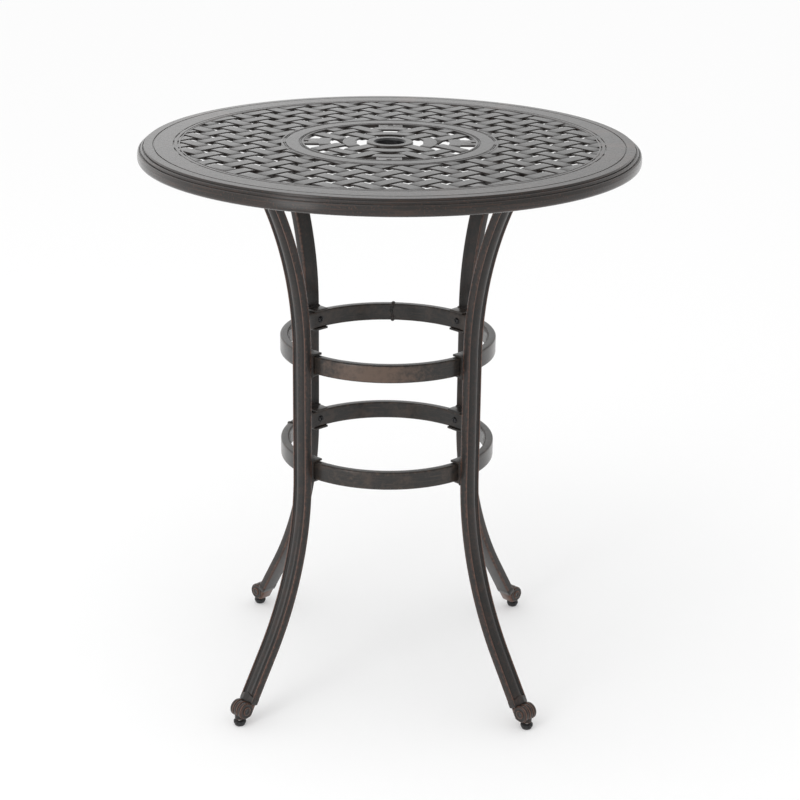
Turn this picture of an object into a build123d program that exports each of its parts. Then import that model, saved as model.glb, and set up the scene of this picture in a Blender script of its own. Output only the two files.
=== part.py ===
"""Round bar table with a woven cast top, four bowed legs, two hoops and levelling feet."""
from build123d import *
from math import acos, asin, atan2, cos, degrees, radians, sin, sqrt
import os

# Table: the origin is on the floor, midway between the feet
TABLE_HEIGHT = 1016.0
LEG_AZIMUTHS = {"front_left": 225, "front_right": 315, "back_right": 45, "back_left": 135}

# Rim of the top, radii from the middle and drops below the table height
RIM_INNER_R = 367.0
RIM_GROOVE_R = 371.0
RIM_SECOND_GROOVE_R = 378.5
RIM_GROOVE_W = 1.4
RIM_GROOVE_D = 1.0
PLATEAU_R = 413.8
LEDGE_R = 430.0
LIP_R = 436.0
TOP_R = 442.0
LEDGE_DROP = 1.5
LIP_DROP = 5.0
BULGE_DROP = 16.0
RIM_DEPTH = 28.0
RIM_EDGE_R = 10.0
RIM_WALL = 5.0
TOP_WALL = 7.0

# Woven lattice: straight bands along both diagonals
WEAVE_PITCH = 44.0
BAND_W = 23.5
BAND_T = 4.0
WEAVE_RELIEF = 1.6
WEAVE_DROP = 0.5
BAND_EASE = 0.7

# Inner ring, medallion and hub
RING_OUTER_R = 191.4
RING_INNER_R = 151.6
ARC_BANDS = ((60.5, 83.0), (105.0, 126.5))
TAB_W = 44.0
TAB_GAP = 2.0
TAB_HOLE = 8.0
HUB_R = 41.0
HUB_NECK_R = 35.0
HUB_COLLAR_D = 12.0
HUB_D = 32.0
UMBRELLA_R = 25.5
SLEEVE_WALL = 2.0
SLEEVE_LIP_R = 28.4
SLEEVE_LIP_T = 2.0
SLEEVE_PROUD = 1.0

# Legs: a straight middle, bent outward at both ends
LEG_W = 34.0
LEG_BACK = 10.0
LEG_RIB = 10.0
LEG_SHOULDER = 3.0
LEG_CORNER = 3.0
BEAD_W = 3.5
BEAD_H = 1.9
FLUTE_W = 3.0
FLUTE_D = 1.2
LEG_LOW_Z = 440.0
LEG_HIGH_Z = TABLE_HEIGHT - 348.0
LOW_BEND_R = 630.0
HIGH_BEND_R = 620.0
LOW_BEND_DEG = 30.5
LEG_END_Z = 42.0

# Leg flange and the boss above it
FLANGE_W = 82.0
FLANGE_DEPTH = 34.0
FLANGE_T = 6.0
BOSS_D = 10.0
LEG_BOLT_SPREAD = 54.0
LEG_BOLT_R = 4.0
LEG_BOLT_HEAD_AF = 13.0
LEG_BOLT_HEAD_T = 5.3
FLAT_WASHER_R = 8.0
FLAT_WASHER_T = 1.6
LOCK_WASHER_R = 7.0
LOCK_WASHER_T = 2.0
LOCK_WASHER_SLOT = 1.5

# Hoops and their brackets
HOOP_R = 196.0
HOOP_T = 15.0
HOOP_H = 32.0
HOOP_EDGE = 2.5
HOOP_Z = {"upper": 632.0, "lower": 433.5}
BRACKET_W = 32.0
BRACKET_WEB = 6.0
BRACKET_FLANGE_T = 4.0
BRACKET_REACH = 3.0
HOOP_BOLT_R = 3.0
HOOP_BOLT_HEAD_R = 6.2
HOOP_BOLT_HEAD_T = 4.0
HOOP_BOLT_GRIP = 12.0
HOOP_BOLT_SOCKET_AF = 4.0
HOOP_BOLT_SOCKET_D = 2.0

# Feet and levellers
FOOT_R = 366.0
ROLL_R = 15.5
ROLL_W = 30.0
ROLL_EDGE = 4.0
ROLL_IN = 2.0
ROLL_EYE_R = 8.0
ROLL_EYE_PROUD = 1.2
NECK_W = 27.0
NECK_FRONT = 6.0
NECK_SUNK = 4.0
FOOT_BOSS_R = 9.0
PAD_H = 9.5
PAD_TOP_R = 10.5
PAD_BASE_R = 8.0
PAD_EDGE = 1.5
PAD_NOTCHES = 10
PAD_NOTCH_R = 1.3
PAD_NOTCH_D = 3.5
PAD_GAP = 4.0
STUD_R = 3.0
STUD_LENGTH = 33.0
STUD_HEAD_R = 5.5
STUD_HEAD_T = 2.5
STUD_HEAD_Z = 3.0
STUD_END_CHAMFER = 0.8
STUD_HEADROOM = 6.0
INSERT_R = 5.0
INSERT_LENGTH = 20.0

# Fits
SEAT_CLEARANCE = 0.3
RUNNING_CLEARANCE = 0.1
BOLT_CLEARANCE = 0.3
THREAD_CLEARANCE = 0.05
OVERLAP = 1.0

# Heights and radii that follow from the sizes above
WEAVE_TOP = TABLE_HEIGHT - WEAVE_DROP
BAND_TOP = WEAVE_TOP - WEAVE_RELIEF
BAND_BOTTOM = BAND_TOP - BAND_T
TOP_UNDERSIDE = TABLE_HEIGHT - TOP_WALL
BOSS_BOTTOM = BAND_BOTTOM - BOSS_D
FLANGE_BOTTOM = BOSS_BOTTOM - FLANGE_T
FOOT_BOTTOM = PAD_H + PAD_GAP
ROLL_Z = FOOT_BOTTOM + OVERLAP + ROLL_R
LEG_MID_R = HOOP_R + SEAT_CLEARANCE + BRACKET_WEB + LEG_BACK
LEG_TOP_TURN = asin((FLANGE_BOTTOM - LEG_HIGH_Z) / HIGH_BEND_R)
LEG_TOP_R = LEG_MID_R + HIGH_BEND_R * (1 - cos(LEG_TOP_TURN))


def turned(profile):
    """A solid turned about the upright axis from a closed outline of (radius, height) edges."""
    face = make_face(Plane.XZ * profile)
    return revolve(face, Axis.Z)


def closed(points):
    """A closed outline through (radius, height) corners."""
    return Polyline(*points, close=True)


def ring_sector(inner_r, outer_r, middle_deg, half_deg):
    """A flat piece of a round band, half_deg to each side of its middle."""
    start = middle_deg - half_deg
    outer = CenterArc((0, 0), outer_r, start, 2 * half_deg)
    inner = CenterArc((0, 0), inner_r, start, 2 * half_deg)
    return make_face([outer, inner, Line(outer @ 0, inner @ 0), Line(outer @ 1, inner @ 1)])


def strip(along, across, turn_deg, length, width):
    """A flat straight strip turned by turn_deg, with its middle given along and across that direction."""
    return Rot(0, 0, turn_deg) * Pos(along, across) * Rectangle(length, width)


def rim():
    """The rim: two fine grooves, a plateau, a ledge, a lip and a rounded skirt."""
    top = TABLE_HEIGHT
    groove_floor = top - RIM_GROOVE_D
    points = [(RIM_INNER_R, TOP_UNDERSIDE), (RIM_INNER_R, top)]
    for groove_r in (RIM_GROOVE_R, RIM_SECOND_GROOVE_R):
        near = groove_r - RIM_GROOVE_W / 2
        far = groove_r + RIM_GROOVE_W / 2
        points += [(near, top), (near, groove_floor), (far, groove_floor), (far, top)]
    points += [(PLATEAU_R, top), (PLATEAU_R, top - LEDGE_DROP), (LEDGE_R, top - LEDGE_DROP)]
    points += [(LEDGE_R, top - LIP_DROP), (LIP_R, top - LIP_DROP)]
    land = Polyline(*points)
    widest = (TOP_R, top - BULGE_DROP)
    bulge = TangentArc(widest, land @ 1, tangent=(0, 1))
    bottom = top - RIM_DEPTH
    skirt = Line(widest, (TOP_R, bottom + RIM_EDGE_R))
    edge = RadiusArc(skirt @ 1, (TOP_R - RIM_EDGE_R, bottom), RIM_EDGE_R)
    inner_r = TOP_R - RIM_EDGE_R - RIM_WALL
    inside = Polyline(edge @ 1, (inner_r, bottom), (inner_r, TOP_UNDERSIDE), (RIM_INNER_R, TOP_UNDERSIDE))
    return turned(land + bulge + skirt + edge + inside)


def weave_places():
    """Grid steps whose crossing or gap can touch the lattice."""
    reach = int(RIM_INNER_R / WEAVE_PITCH) + 2
    return range(-reach, reach + 1)


def lattice():
    """The woven part between the inner ring and the rim: a pierced plate with a raised strip at each crossing."""
    gap = WEAVE_PITCH - BAND_W
    gaps = []
    raised = []
    strip_length = 2 * WEAVE_PITCH - BAND_W - 2 * BAND_EASE
    strip_width = BAND_W - 2 * BAND_EASE
    for i in weave_places():
        for j in weave_places():
            gap_at = ((i + 0.5) * WEAVE_PITCH, (j + 0.5) * WEAVE_PITCH)
            if RING_INNER_R + gap < sqrt(gap_at[0] ** 2 + gap_at[1] ** 2) < RIM_INNER_R + gap:
                gaps.append(strip(*gap_at, 45, gap, gap))
            cross_at = (i * WEAVE_PITCH, j * WEAVE_PITCH)
            if RING_OUTER_R < sqrt(cross_at[0] ** 2 + cross_at[1] ** 2) < RIM_INNER_R:
                size = (strip_length, strip_width) if (i + j) % 2 == 0 else (strip_width, strip_length)
                raised.append(strip(*cross_at, 45, *size))
    plate = Circle(RIM_INNER_R + OVERLAP) - Circle(RING_OUTER_R - OVERLAP)
    keep = plate.face()
    pierced = extrude(Pos(0, 0, BAND_BOTTOM) * (plate - gaps), BAND_T)
    strips = [extrude(Pos(0, 0, BAND_TOP) * (keep & piece), WEAVE_RELIEF) for piece in raised]
    return [pierced] + strips


def medallion():
    """The woven middle: two round bands, straight bands along the diagonals, and a tab at each quarter."""
    (first_in, first_out), (second_in, second_out) = ARC_BANDS
    first_mid = (first_in + first_out) / 2
    second_mid = (second_in + second_out) / 2
    outer_r = RING_INNER_R + OVERLAP
    side_start = sqrt(first_mid ** 2 - WEAVE_PITCH ** 2)
    side_end = sqrt(outer_r ** 2 - (WEAVE_PITCH + BAND_W / 2) ** 2)
    strip_width = BAND_W - 2 * BAND_EASE
    strip_length = 2 * WEAVE_PITCH - BAND_W - 2 * BAND_EASE
    flat = [Circle(r_out) - Circle(r_in) for r_in, r_out in ARC_BANDS]
    raised = []
    arm_half_deg = degrees(asin(BAND_W / 2 / first_mid))
    side_over = sqrt(second_mid ** 2 - WEAVE_PITCH ** 2)
    quarter_half_deg = 45 - degrees(asin((WEAVE_PITCH + BAND_W / 2) / second_mid))
    tab_in = second_out - OVERLAP
    for quarter in range(4):
        turn = 90 * quarter
        diagonal = turn + 45
        flat.append(strip(outer_r / 2, 0, diagonal, outer_r, BAND_W))
        for side in (-WEAVE_PITCH, WEAVE_PITCH):
            middle = (side_start + side_end) / 2
            flat.append(strip(middle, side, diagonal, side_end - side_start, BAND_W))
            raised.append(strip(side_over, side, diagonal, strip_length, strip_width))
        tab = strip((tab_in + outer_r) / 2, 0, turn, outer_r - tab_in, TAB_W)
        flat.append(tab - strip(RING_INNER_R - TAB_HOLE / 2, 0, turn, TAB_HOLE, TAB_HOLE))
        raised.append(strip(first_mid, 0, diagonal, strip_length, strip_width))
        ease_deg = degrees(BAND_EASE / first_mid)
        cross_half_deg = degrees(strip_length / 2 / second_mid)
        raised.append(ring_sector(second_in + BAND_EASE, second_out - BAND_EASE, diagonal, cross_half_deg / 2))
        quarter_deg = 45 - arm_half_deg - 2 * ease_deg
        raised.append(ring_sector(first_in + BAND_EASE, first_out - BAND_EASE, turn, quarter_deg))
        raised.append(ring_sector(second_in + BAND_EASE, second_out - BAND_EASE, turn, quarter_half_deg - ease_deg))
        pad_in = second_out + TAB_GAP
        pad_out = RING_INNER_R - TAB_HOLE - TAB_GAP
        raised.append(strip((pad_in + pad_out) / 2, 0, turn, pad_out - pad_in, TAB_W - 2 * BAND_EASE))
    keep = Circle(outer_r).face()
    solids = [extrude(Pos(0, 0, BAND_BOTTOM) * piece, BAND_T) for piece in flat]
    for piece in raised:
        solids.append(extrude(Pos(0, 0, BAND_TOP) * (keep & piece), WEAVE_RELIEF))
    return solids


def inner_ring():
    """The flat ring between the lattice and the medallion."""
    inner = (RING_INNER_R, BAND_BOTTOM)
    return turned(closed([inner, (RING_OUTER_R, BAND_BOTTOM), (RING_OUTER_R, TABLE_HEIGHT), (RING_INNER_R, TABLE_HEIGHT)]))


def hub():
    """The hub: a collar and neck round the umbrella hole, stepped for the sleeve's lip."""
    top = TABLE_HEIGHT
    bore_r = UMBRELLA_R + SLEEVE_WALL + THREAD_CLEARANCE
    seat_r = SLEEVE_LIP_R + RUNNING_CLEARANCE
    seat_z = top - SLEEVE_LIP_T
    collar_z = top - HUB_COLLAR_D
    bottom = top - HUB_D
    return turned(closed([
        (seat_r, top), (HUB_R, top), (HUB_R, collar_z), (HUB_NECK_R, collar_z), (HUB_NECK_R, bottom),
        (bore_r, bottom), (bore_r, seat_z), (seat_r, seat_z),
    ]))


def at_leg(solid, azimuth):
    """Turns a solid that was modelled along +X to a leg's direction."""
    return Rot(0, 0, azimuth) * solid


def leg_bolt_axes():
    """Sideways places of a leg's two bolts."""
    return (-LEG_BOLT_SPREAD / 2, LEG_BOLT_SPREAD / 2)


def upright(radius, bottom, top, x=0.0, y=0.0):
    """An upright cylinder between two heights."""
    return Pos(x, y, (bottom + top) / 2) * Cylinder(radius, top - bottom)


def block(x_size, y_size, bottom, top, x=0.0, y=0.0):
    """An upright block between two heights."""
    return Pos(x, y, (bottom + top) / 2) * Box(x_size, y_size, top - bottom)


def table_top():
    """The whole top casting, with a tapped boss over each leg."""
    pieces = [rim(), inner_ring(), hub()] + lattice() + medallion()
    holes = []
    for azimuth in LEG_AZIMUTHS.values():
        boss = block(FLANGE_DEPTH, FLANGE_W, BOSS_BOTTOM, BAND_TOP, LEG_TOP_R)
        pieces.append(at_leg(boss, azimuth))
        for side in leg_bolt_axes():
            hole = upright(LEG_BOLT_R + THREAD_CLEARANCE, BOSS_BOTTOM, BAND_BOTTOM, LEG_TOP_R, side)
            holes.append(at_leg(hole, azimuth))
    casting = pieces[0].fuse(*pieces[1:])
    bore_r = UMBRELLA_R + SLEEVE_WALL + THREAD_CLEARANCE
    holes.append(upright(bore_r, TABLE_HEIGHT - HUB_D, TABLE_HEIGHT))
    holes.append(upright(SLEEVE_LIP_R + RUNNING_CLEARANCE, TABLE_HEIGHT - SLEEVE_LIP_T, TABLE_HEIGHT))
    return casting.cut(*holes)


def umbrella_sleeve():
    """The lipped liner of the umbrella hole."""
    top = TABLE_HEIGHT
    outer_r = UMBRELLA_R + SLEEVE_WALL
    lip_z = top - SLEEVE_LIP_T
    bottom = top - HUB_D - SLEEVE_PROUD
    return turned(closed([
        (UMBRELLA_R, top), (SLEEVE_LIP_R, top), (SLEEVE_LIP_R, lip_z), (outer_r, lip_z),
        (outer_r, bottom), (UMBRELLA_R, bottom),
    ]))


def leg_section():
    """Half of the leg's section mirrored: flat back, side beads, two flutes and a broad front rib."""
    half = LEG_W / 2
    bead_in = half - BEAD_W
    rib_edge = bead_in - FLUTE_W
    halves = []
    for s in (1, -1):
        back = Line((0, -LEG_BACK), (s * (half - LEG_CORNER), -LEG_BACK))
        corner_mid = (s * (half - LEG_CORNER * (1 - sqrt(0.5))), -LEG_BACK + LEG_CORNER * (1 - sqrt(0.5)))
        corner = ThreePointArc(back @ 1, corner_mid, (s * half, -LEG_BACK + LEG_CORNER))
        side = Line(corner @ 1, (s * half, LEG_SHOULDER))
        bead = ThreePointArc(side @ 1, (s * (half - BEAD_W / 2), LEG_SHOULDER + BEAD_H), (s * bead_in, LEG_SHOULDER))
        flute_mid = (s * (bead_in - FLUTE_W / 2), LEG_SHOULDER - FLUTE_D)
        flute = ThreePointArc(bead @ 1, flute_mid, (s * rib_edge, LEG_SHOULDER))
        halves += [back, corner, side, bead, flute]
    halves.append(ThreePointArc((-rib_edge, LEG_SHOULDER), (0, LEG_RIB), (rib_edge, LEG_SHOULDER)))
    return make_face(halves)


def leg_path():
    """The leg's centre line in the XZ plane, from the foot up past the flange."""
    low_turn = radians(LOW_BEND_DEG)
    low_r = LEG_MID_R + LOW_BEND_R * (1 - cos(low_turn))
    low_z = LEG_LOW_Z - LOW_BEND_R * sin(low_turn)
    run = (low_z - LEG_END_Z) / cos(low_turn)
    foot_end = (low_r + run * sin(low_turn), 0, LEG_END_Z)
    high_turn = LEG_TOP_TURN + FLANGE_T / HIGH_BEND_R * 2
    straight = Line(foot_end, (low_r, 0, low_z))
    low_half = (LEG_MID_R + LOW_BEND_R * (1 - cos(low_turn / 2)), 0, LEG_LOW_Z - LOW_BEND_R * sin(low_turn / 2))
    low_bend = ThreePointArc(straight @ 1, low_half, (LEG_MID_R, 0, LEG_LOW_Z))
    middle = Line(low_bend @ 1, (LEG_MID_R, 0, LEG_HIGH_Z))
    high_half = (LEG_MID_R + HIGH_BEND_R * (1 - cos(high_turn / 2)), 0, LEG_HIGH_Z + HIGH_BEND_R * sin(high_turn / 2))
    high_end = (LEG_MID_R + HIGH_BEND_R * (1 - cos(high_turn)), 0, LEG_HIGH_Z + HIGH_BEND_R * sin(high_turn))
    high_bend = ThreePointArc(middle @ 1, high_half, high_end)
    return straight + low_bend + middle + high_bend


def foot(path):
    """The scroll foot: the leg's back runs on into a rolled toe with an eye on each side and a boss below."""
    roll_at = Vector(FOOT_R - ROLL_IN, 0, ROLL_Z)
    end = path @ 0
    up = path % 0
    front = Vector(up.Z, 0, -up.X)
    heel = end - front * LEG_BACK
    to_heel = heel - roll_at
    heel_turn = atan2(to_heel.Z, to_heel.X) + acos(ROLL_R / to_heel.length)
    touch = roll_at + Vector(cos(heel_turn), 0, sin(heel_turn)) * ROLL_R
    brow = end + front * NECK_FRONT
    outline = Polyline(heel + up * NECK_SUNK, heel, touch, roll_at, brow, brow + up * NECK_SUNK, close=True)
    neck = extrude(make_face(outline), NECK_W / 2, both=True)
    roll = Cylinder(ROLL_R, ROLL_W)
    roll = fillet(roll.edges().filter_by(GeomType.CIRCLE), ROLL_EDGE)
    eye = Cylinder(ROLL_EYE_R, ROLL_W + 2 * ROLL_EYE_PROUD)
    sideways = Pos(roll_at) * Rot(90, 0, 0)
    boss = upright(FOOT_BOSS_R, FOOT_BOTTOM, ROLL_Z, FOOT_R)
    return [neck, sideways * roll, sideways * eye, boss]


def leg():
    """One leg along +X with its flange, foot, leveller hole and hoop-bolt holes."""
    path = leg_path()
    start = Plane(origin=path @ 0, x_dir=(0, -1, 0), z_dir=path % 0)
    bar = sweep(start * leg_section(), path=path)
    flange_middle = (FLANGE_BOTTOM + BOSS_BOTTOM) / 2
    above = block(4 * FLANGE_W, 4 * FLANGE_W, flange_middle, TABLE_HEIGHT, LEG_TOP_R)
    flange = block(FLANGE_DEPTH, FLANGE_W, FLANGE_BOTTOM, BOSS_BOTTOM, LEG_TOP_R)
    body = bar.cut(above).fuse(flange, *foot(path))
    insert_top = FOOT_BOTTOM + INSERT_LENGTH
    stud_top = STUD_HEAD_Z + STUD_LENGTH + STUD_HEADROOM
    holes = [
        upright(INSERT_R + THREAD_CLEARANCE, FOOT_BOTTOM, insert_top, FOOT_R),
        upright(STUD_R + BOLT_CLEARANCE, FOOT_BOTTOM, stud_top, FOOT_R),
    ]
    for side in leg_bolt_axes():
        holes.append(upright(LEG_BOLT_R + BOLT_CLEARANCE, FLANGE_BOTTOM, BOSS_BOTTOM, LEG_TOP_R, side))
    face_r = LEG_MID_R - LEG_BACK
    for hoop_z in HOOP_Z.values():
        holes.append(along_x(HOOP_BOLT_R + THREAD_CLEARANCE, face_r, face_r + HOOP_BOLT_GRIP + OVERLAP, hoop_middle(hoop_z)))
    return body.cut(*holes)


def along_x(radius, start, end, z):
    """A cylinder along +X between two radii, at one height."""
    return Pos((start + end) / 2, 0, z) * Rot(0, 90, 0) * Cylinder(radius, end - start)


def hoop_middle(hoop_z):
    """The height of a hoop's middle line above its lower edge."""
    return hoop_z + HOOP_H / 2


def hoop(hoop_z):
    """A rolled flat-bar hoop with eased edges and a bolt hole at each leg."""
    section = Pos(HOOP_R - HOOP_T / 2, hoop_middle(hoop_z)) * RectangleRounded(HOOP_T, HOOP_H, HOOP_EDGE)
    ring = revolve(Plane.XZ * section, Axis.Z)
    hole = along_x(HOOP_BOLT_R + BOLT_CLEARANCE, HOOP_R - 2 * HOOP_T, HOOP_R + HOOP_T, hoop_middle(hoop_z))
    return ring.cut(*[at_leg(hole, azimuth) for azimuth in LEG_AZIMUTHS.values()])


def bracket(hoop_z):
    """A channel bracket along +X: a web against the leg and a flange under and over the hoop."""
    web_in = HOOP_R + SEAT_CLEARANCE
    web_out = web_in + BRACKET_WEB
    reach_in = HOOP_R - HOOP_T - BRACKET_REACH
    low = hoop_z - BRACKET_FLANGE_T
    high = hoop_z + HOOP_H + SEAT_CLEARANCE + BRACKET_FLANGE_T
    outside = block(web_out - reach_in, BRACKET_W, low, high, (reach_in + web_out) / 2)
    slot_length = web_in - reach_in + OVERLAP
    slot = block(slot_length, BRACKET_W + OVERLAP, hoop_z, high - BRACKET_FLANGE_T, web_in - slot_length / 2)
    hole = along_x(HOOP_BOLT_R + BOLT_CLEARANCE, reach_in, web_out + OVERLAP, hoop_middle(hoop_z))
    return outside.cut(slot, hole)


def hoop_bolt(hoop_z):
    """A round-headed bolt along +X, from inside the hoop into the leg."""
    seat = flat_seat_r()
    end = LEG_MID_R - LEG_BACK + HOOP_BOLT_GRIP
    z = hoop_middle(hoop_z)
    shank = along_x(HOOP_BOLT_R, seat - OVERLAP, end, z)
    dome_r = (HOOP_BOLT_HEAD_R ** 2 + HOOP_BOLT_HEAD_T ** 2) / (2 * HOOP_BOLT_HEAD_T)
    dome = Pos(seat - HOOP_BOLT_HEAD_T + dome_r, 0, z) * Sphere(dome_r)
    head = dome & along_x(HOOP_BOLT_HEAD_R + OVERLAP, seat - HOOP_BOLT_HEAD_T, seat, z)
    socket_in = seat - HOOP_BOLT_HEAD_T
    hexagon = RegularPolygon(HOOP_BOLT_SOCKET_AF / 2, 6, major_radius=False)
    socket = Plane(origin=(socket_in - OVERLAP, 0, z), z_dir=(1, 0, 0)) * extrude(hexagon, HOOP_BOLT_SOCKET_D + OVERLAP)
    return head.fuse(shank).cut(socket)


def flat_seat_r():
    """Where a bolt's flat seat meets the hoop's hollow inner face: on the rim of the bolt head."""
    inner = HOOP_R - HOOP_T
    return sqrt(inner ** 2 - HOOP_BOLT_HEAD_R ** 2)


def at_flange(make):
    """One solid for each leg bolt, placed under a leg's flange."""
    places = [(azimuth, side) for azimuth in LEG_AZIMUTHS.values() for side in leg_bolt_axes()]
    return [at_leg(Pos(LEG_TOP_R, side, 0) * make(), azimuth) for azimuth, side in places]


def flat_washer():
    """A flat washer against the flange's underside."""
    bottom = FLANGE_BOTTOM - FLAT_WASHER_T
    hole_r = LEG_BOLT_R + BOLT_CLEARANCE
    return upright(FLAT_WASHER_R, bottom, FLANGE_BOTTOM).cut(upright(hole_r, bottom, FLANGE_BOTTOM))


def lock_washer():
    """A split spring washer under the flat washer."""
    top = FLANGE_BOTTOM - FLAT_WASHER_T
    bottom = top - LOCK_WASHER_T
    hole_r = LEG_BOLT_R + BOLT_CLEARANCE
    slot = block(LOCK_WASHER_R, LOCK_WASHER_SLOT, bottom, top, LOCK_WASHER_R)
    return upright(LOCK_WASHER_R, bottom, top).cut(upright(hole_r, bottom, top), slot)


def leg_bolt():
    """A hexagon bolt up through the flange into the boss."""
    seat = FLANGE_BOTTOM - FLAT_WASHER_T - LOCK_WASHER_T
    hexagon = RegularPolygon(LEG_BOLT_HEAD_AF / 2, 6, major_radius=False)
    head = Pos(0, 0, seat - LEG_BOLT_HEAD_T) * extrude(hexagon, LEG_BOLT_HEAD_T)
    return head.fuse(upright(LEG_BOLT_R, seat - OVERLAP, BAND_BOTTOM - OVERLAP))


def leveller_pad():
    """The notched pad, hollowed for the stud's head."""
    outline = closed([
        (0, 0), (PAD_BASE_R - PAD_EDGE, 0), (PAD_BASE_R, PAD_EDGE), (PAD_TOP_R, PAD_H - PAD_EDGE),
        (PAD_TOP_R - PAD_EDGE / 2, PAD_H), (0, PAD_H),
    ])
    body = turned(outline)
    head_bottom = STUD_HEAD_Z - RUNNING_CLEARANCE
    head_top = STUD_HEAD_Z + STUD_HEAD_T + RUNNING_CLEARANCE
    cuts = [
        upright(STUD_HEAD_R + RUNNING_CLEARANCE, head_bottom, head_top),
        upright(STUD_R + RUNNING_CLEARANCE, head_bottom, PAD_H),
    ]
    for place in PolarLocations(PAD_TOP_R, PAD_NOTCHES):
        cuts.append(place * upright(PAD_NOTCH_R, PAD_H - PAD_NOTCH_D, PAD_H + OVERLAP))
    return Pos(FOOT_R, 0, 0) * body.cut(*cuts)


def leveller_stud():
    """The threaded stud, drawn at its outside diameter, with the head that the pad turns on."""
    head = upright(STUD_HEAD_R, STUD_HEAD_Z, STUD_HEAD_Z + STUD_HEAD_T)
    shaft = upright(STUD_R, STUD_HEAD_Z, STUD_HEAD_Z + STUD_LENGTH)
    tip = shaft.edges().sort_by(Axis.Z)[-1]
    return Pos(FOOT_R, 0, 0) * chamfer(tip, STUD_END_CHAMFER).fuse(head)


def foot_insert():
    """The threaded insert in the foot."""
    top = FOOT_BOTTOM + INSERT_LENGTH
    tube = upright(INSERT_R, FOOT_BOTTOM, top).cut(upright(STUD_R + THREAD_CLEARANCE, FOOT_BOTTOM, top))
    return Pos(FOOT_R, 0, 0) * tube


def save(name, *solids):
    """Writes one node: a single solid, or a group of like fasteners."""
    shape = solids[0] if len(solids) == 1 else Compound(children=list(solids))
    export_step(shape, f"parts/{name}.step")


def single(shape):
    """The one solid of a finished piece."""
    solids = shape.solids() if hasattr(shape, "solids") else ShapeList(shape).solids()
    if len(solids) != 1:
        raise ValueError(f"expected one solid, found {len(solids)}")
    return solids[0]


def main():
    """Makes every node and writes it to the parts folder."""
    os.makedirs("parts", exist_ok=True)
    save("table_top", single(table_top()))
    save("umbrella_sleeve", single(umbrella_sleeve()))
    for hoop_name, hoop_z in HOOP_Z.items():
        save(f"{hoop_name}_hoop", single(hoop(hoop_z)))
        for leg_name, azimuth in LEG_AZIMUTHS.items():
            save(f"{hoop_name}_bracket_{leg_name}", single(at_leg(bracket(hoop_z), azimuth)))
    bolts = [hoop_bolt(hoop_z) for hoop_z in HOOP_Z.values()]
    save("hoop_bolts", *[single(at_leg(bolt, azimuth)) for bolt in bolts for azimuth in LEG_AZIMUTHS.values()])
    save("leg_bolts", *[single(bolt) for bolt in at_flange(leg_bolt)])
    save("leg_lock_washers", *[single(washer) for washer in at_flange(lock_washer)])
    save("leg_flat_washers", *[single(washer) for washer in at_flange(flat_washer)])
    pieces = {"leg": leg(), "foot_insert": foot_insert(), "leveller_stud": leveller_stud(), "leveller_pad": leveller_pad()}
    for piece_name, piece in pieces.items():
        for leg_name, azimuth in LEG_AZIMUTHS.items():
            save(f"{piece_name}_{leg_name}", single(at_leg(piece, azimuth)))


main()
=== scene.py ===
"""Looks of a round bar table: woven cast top, bowed fluted legs, two hoops and levelling feet."""

import math
import random
from contextlib import contextmanager

import bmesh
import bpy
from bpy.props import FloatProperty, FloatVectorProperty, IntProperty, PointerProperty
from mathutils import Matrix, Vector


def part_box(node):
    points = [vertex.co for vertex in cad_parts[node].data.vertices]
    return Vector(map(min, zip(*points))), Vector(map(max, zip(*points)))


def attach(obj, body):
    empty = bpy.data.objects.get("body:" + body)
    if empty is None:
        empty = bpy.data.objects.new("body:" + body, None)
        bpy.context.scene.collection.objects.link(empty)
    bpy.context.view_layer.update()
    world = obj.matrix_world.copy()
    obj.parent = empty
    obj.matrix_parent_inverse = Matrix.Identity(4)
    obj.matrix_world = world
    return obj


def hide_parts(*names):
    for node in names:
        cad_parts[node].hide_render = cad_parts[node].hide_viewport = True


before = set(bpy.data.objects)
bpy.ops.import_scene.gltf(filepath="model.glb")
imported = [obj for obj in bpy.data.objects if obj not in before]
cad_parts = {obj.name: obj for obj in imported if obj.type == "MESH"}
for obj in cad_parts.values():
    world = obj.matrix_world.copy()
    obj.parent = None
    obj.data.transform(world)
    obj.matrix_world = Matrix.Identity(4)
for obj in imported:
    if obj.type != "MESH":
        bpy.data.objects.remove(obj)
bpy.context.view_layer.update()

bl_info = {
    "name": "Bar Table",
    "version": (1, 0, 0),
    "blender": (4, 5, 0),
    "location": "View3D > Sidebar > Bar Table",
    "description": "Dresses the frame of a round bar table with a woven cast top",
    "category": "Add Mesh",
}

MM = 0.001
BODY = "table"
LEGS = {"front_left": 225.0, "front_right": 315.0, "back_right": 45.0, "back_left": 135.0}
HOOPS = ("upper", "lower")

# How square the wave of a woven band is, how far the legs' lower ends lean,
# and the least radius in the outline of a turned piece without a bore
FLATNESS = 6.0
LEG_LEAN = math.radians(30.5)
AXIS = 0.05 * MM

# Places that the frame gives
TOP_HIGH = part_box("table_top")[1]
TABLE_HEIGHT = TOP_HIGH.z
TOP_RADIUS = TOP_HIGH.x
HOOP_BOX = {name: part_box(f"{name}_hoop") for name in HOOPS}
HOOP_RADIUS = HOOP_BOX["upper"][1].x
HOOP_HEIGHT = HOOP_BOX["upper"][1].z - HOOP_BOX["upper"][0].z
PAD_LOW, PAD_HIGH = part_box("leveller_pad_back_right")
PAD_HEIGHT = PAD_HIGH.z
FOOT_RADIUS = Vector(((PAD_LOW.x + PAD_HIGH.x) / 2, (PAD_LOW.y + PAD_HIGH.y) / 2)).length
STUD_LOW, STUD_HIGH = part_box("leveller_stud_back_right")
FLANGE_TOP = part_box("leg_back_right")[1].z
SLEEVE_LOW, SLEEVE_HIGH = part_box("umbrella_sleeve")
FLAT_WASHER_LOW, FLAT_WASHER_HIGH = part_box("leg_flat_washers")
LOCK_WASHER_LOW, LOCK_WASHER_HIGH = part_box("leg_lock_washers")
LEG_BOLT_LOW, LEG_BOLT_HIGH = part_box("leg_bolts")


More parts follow.
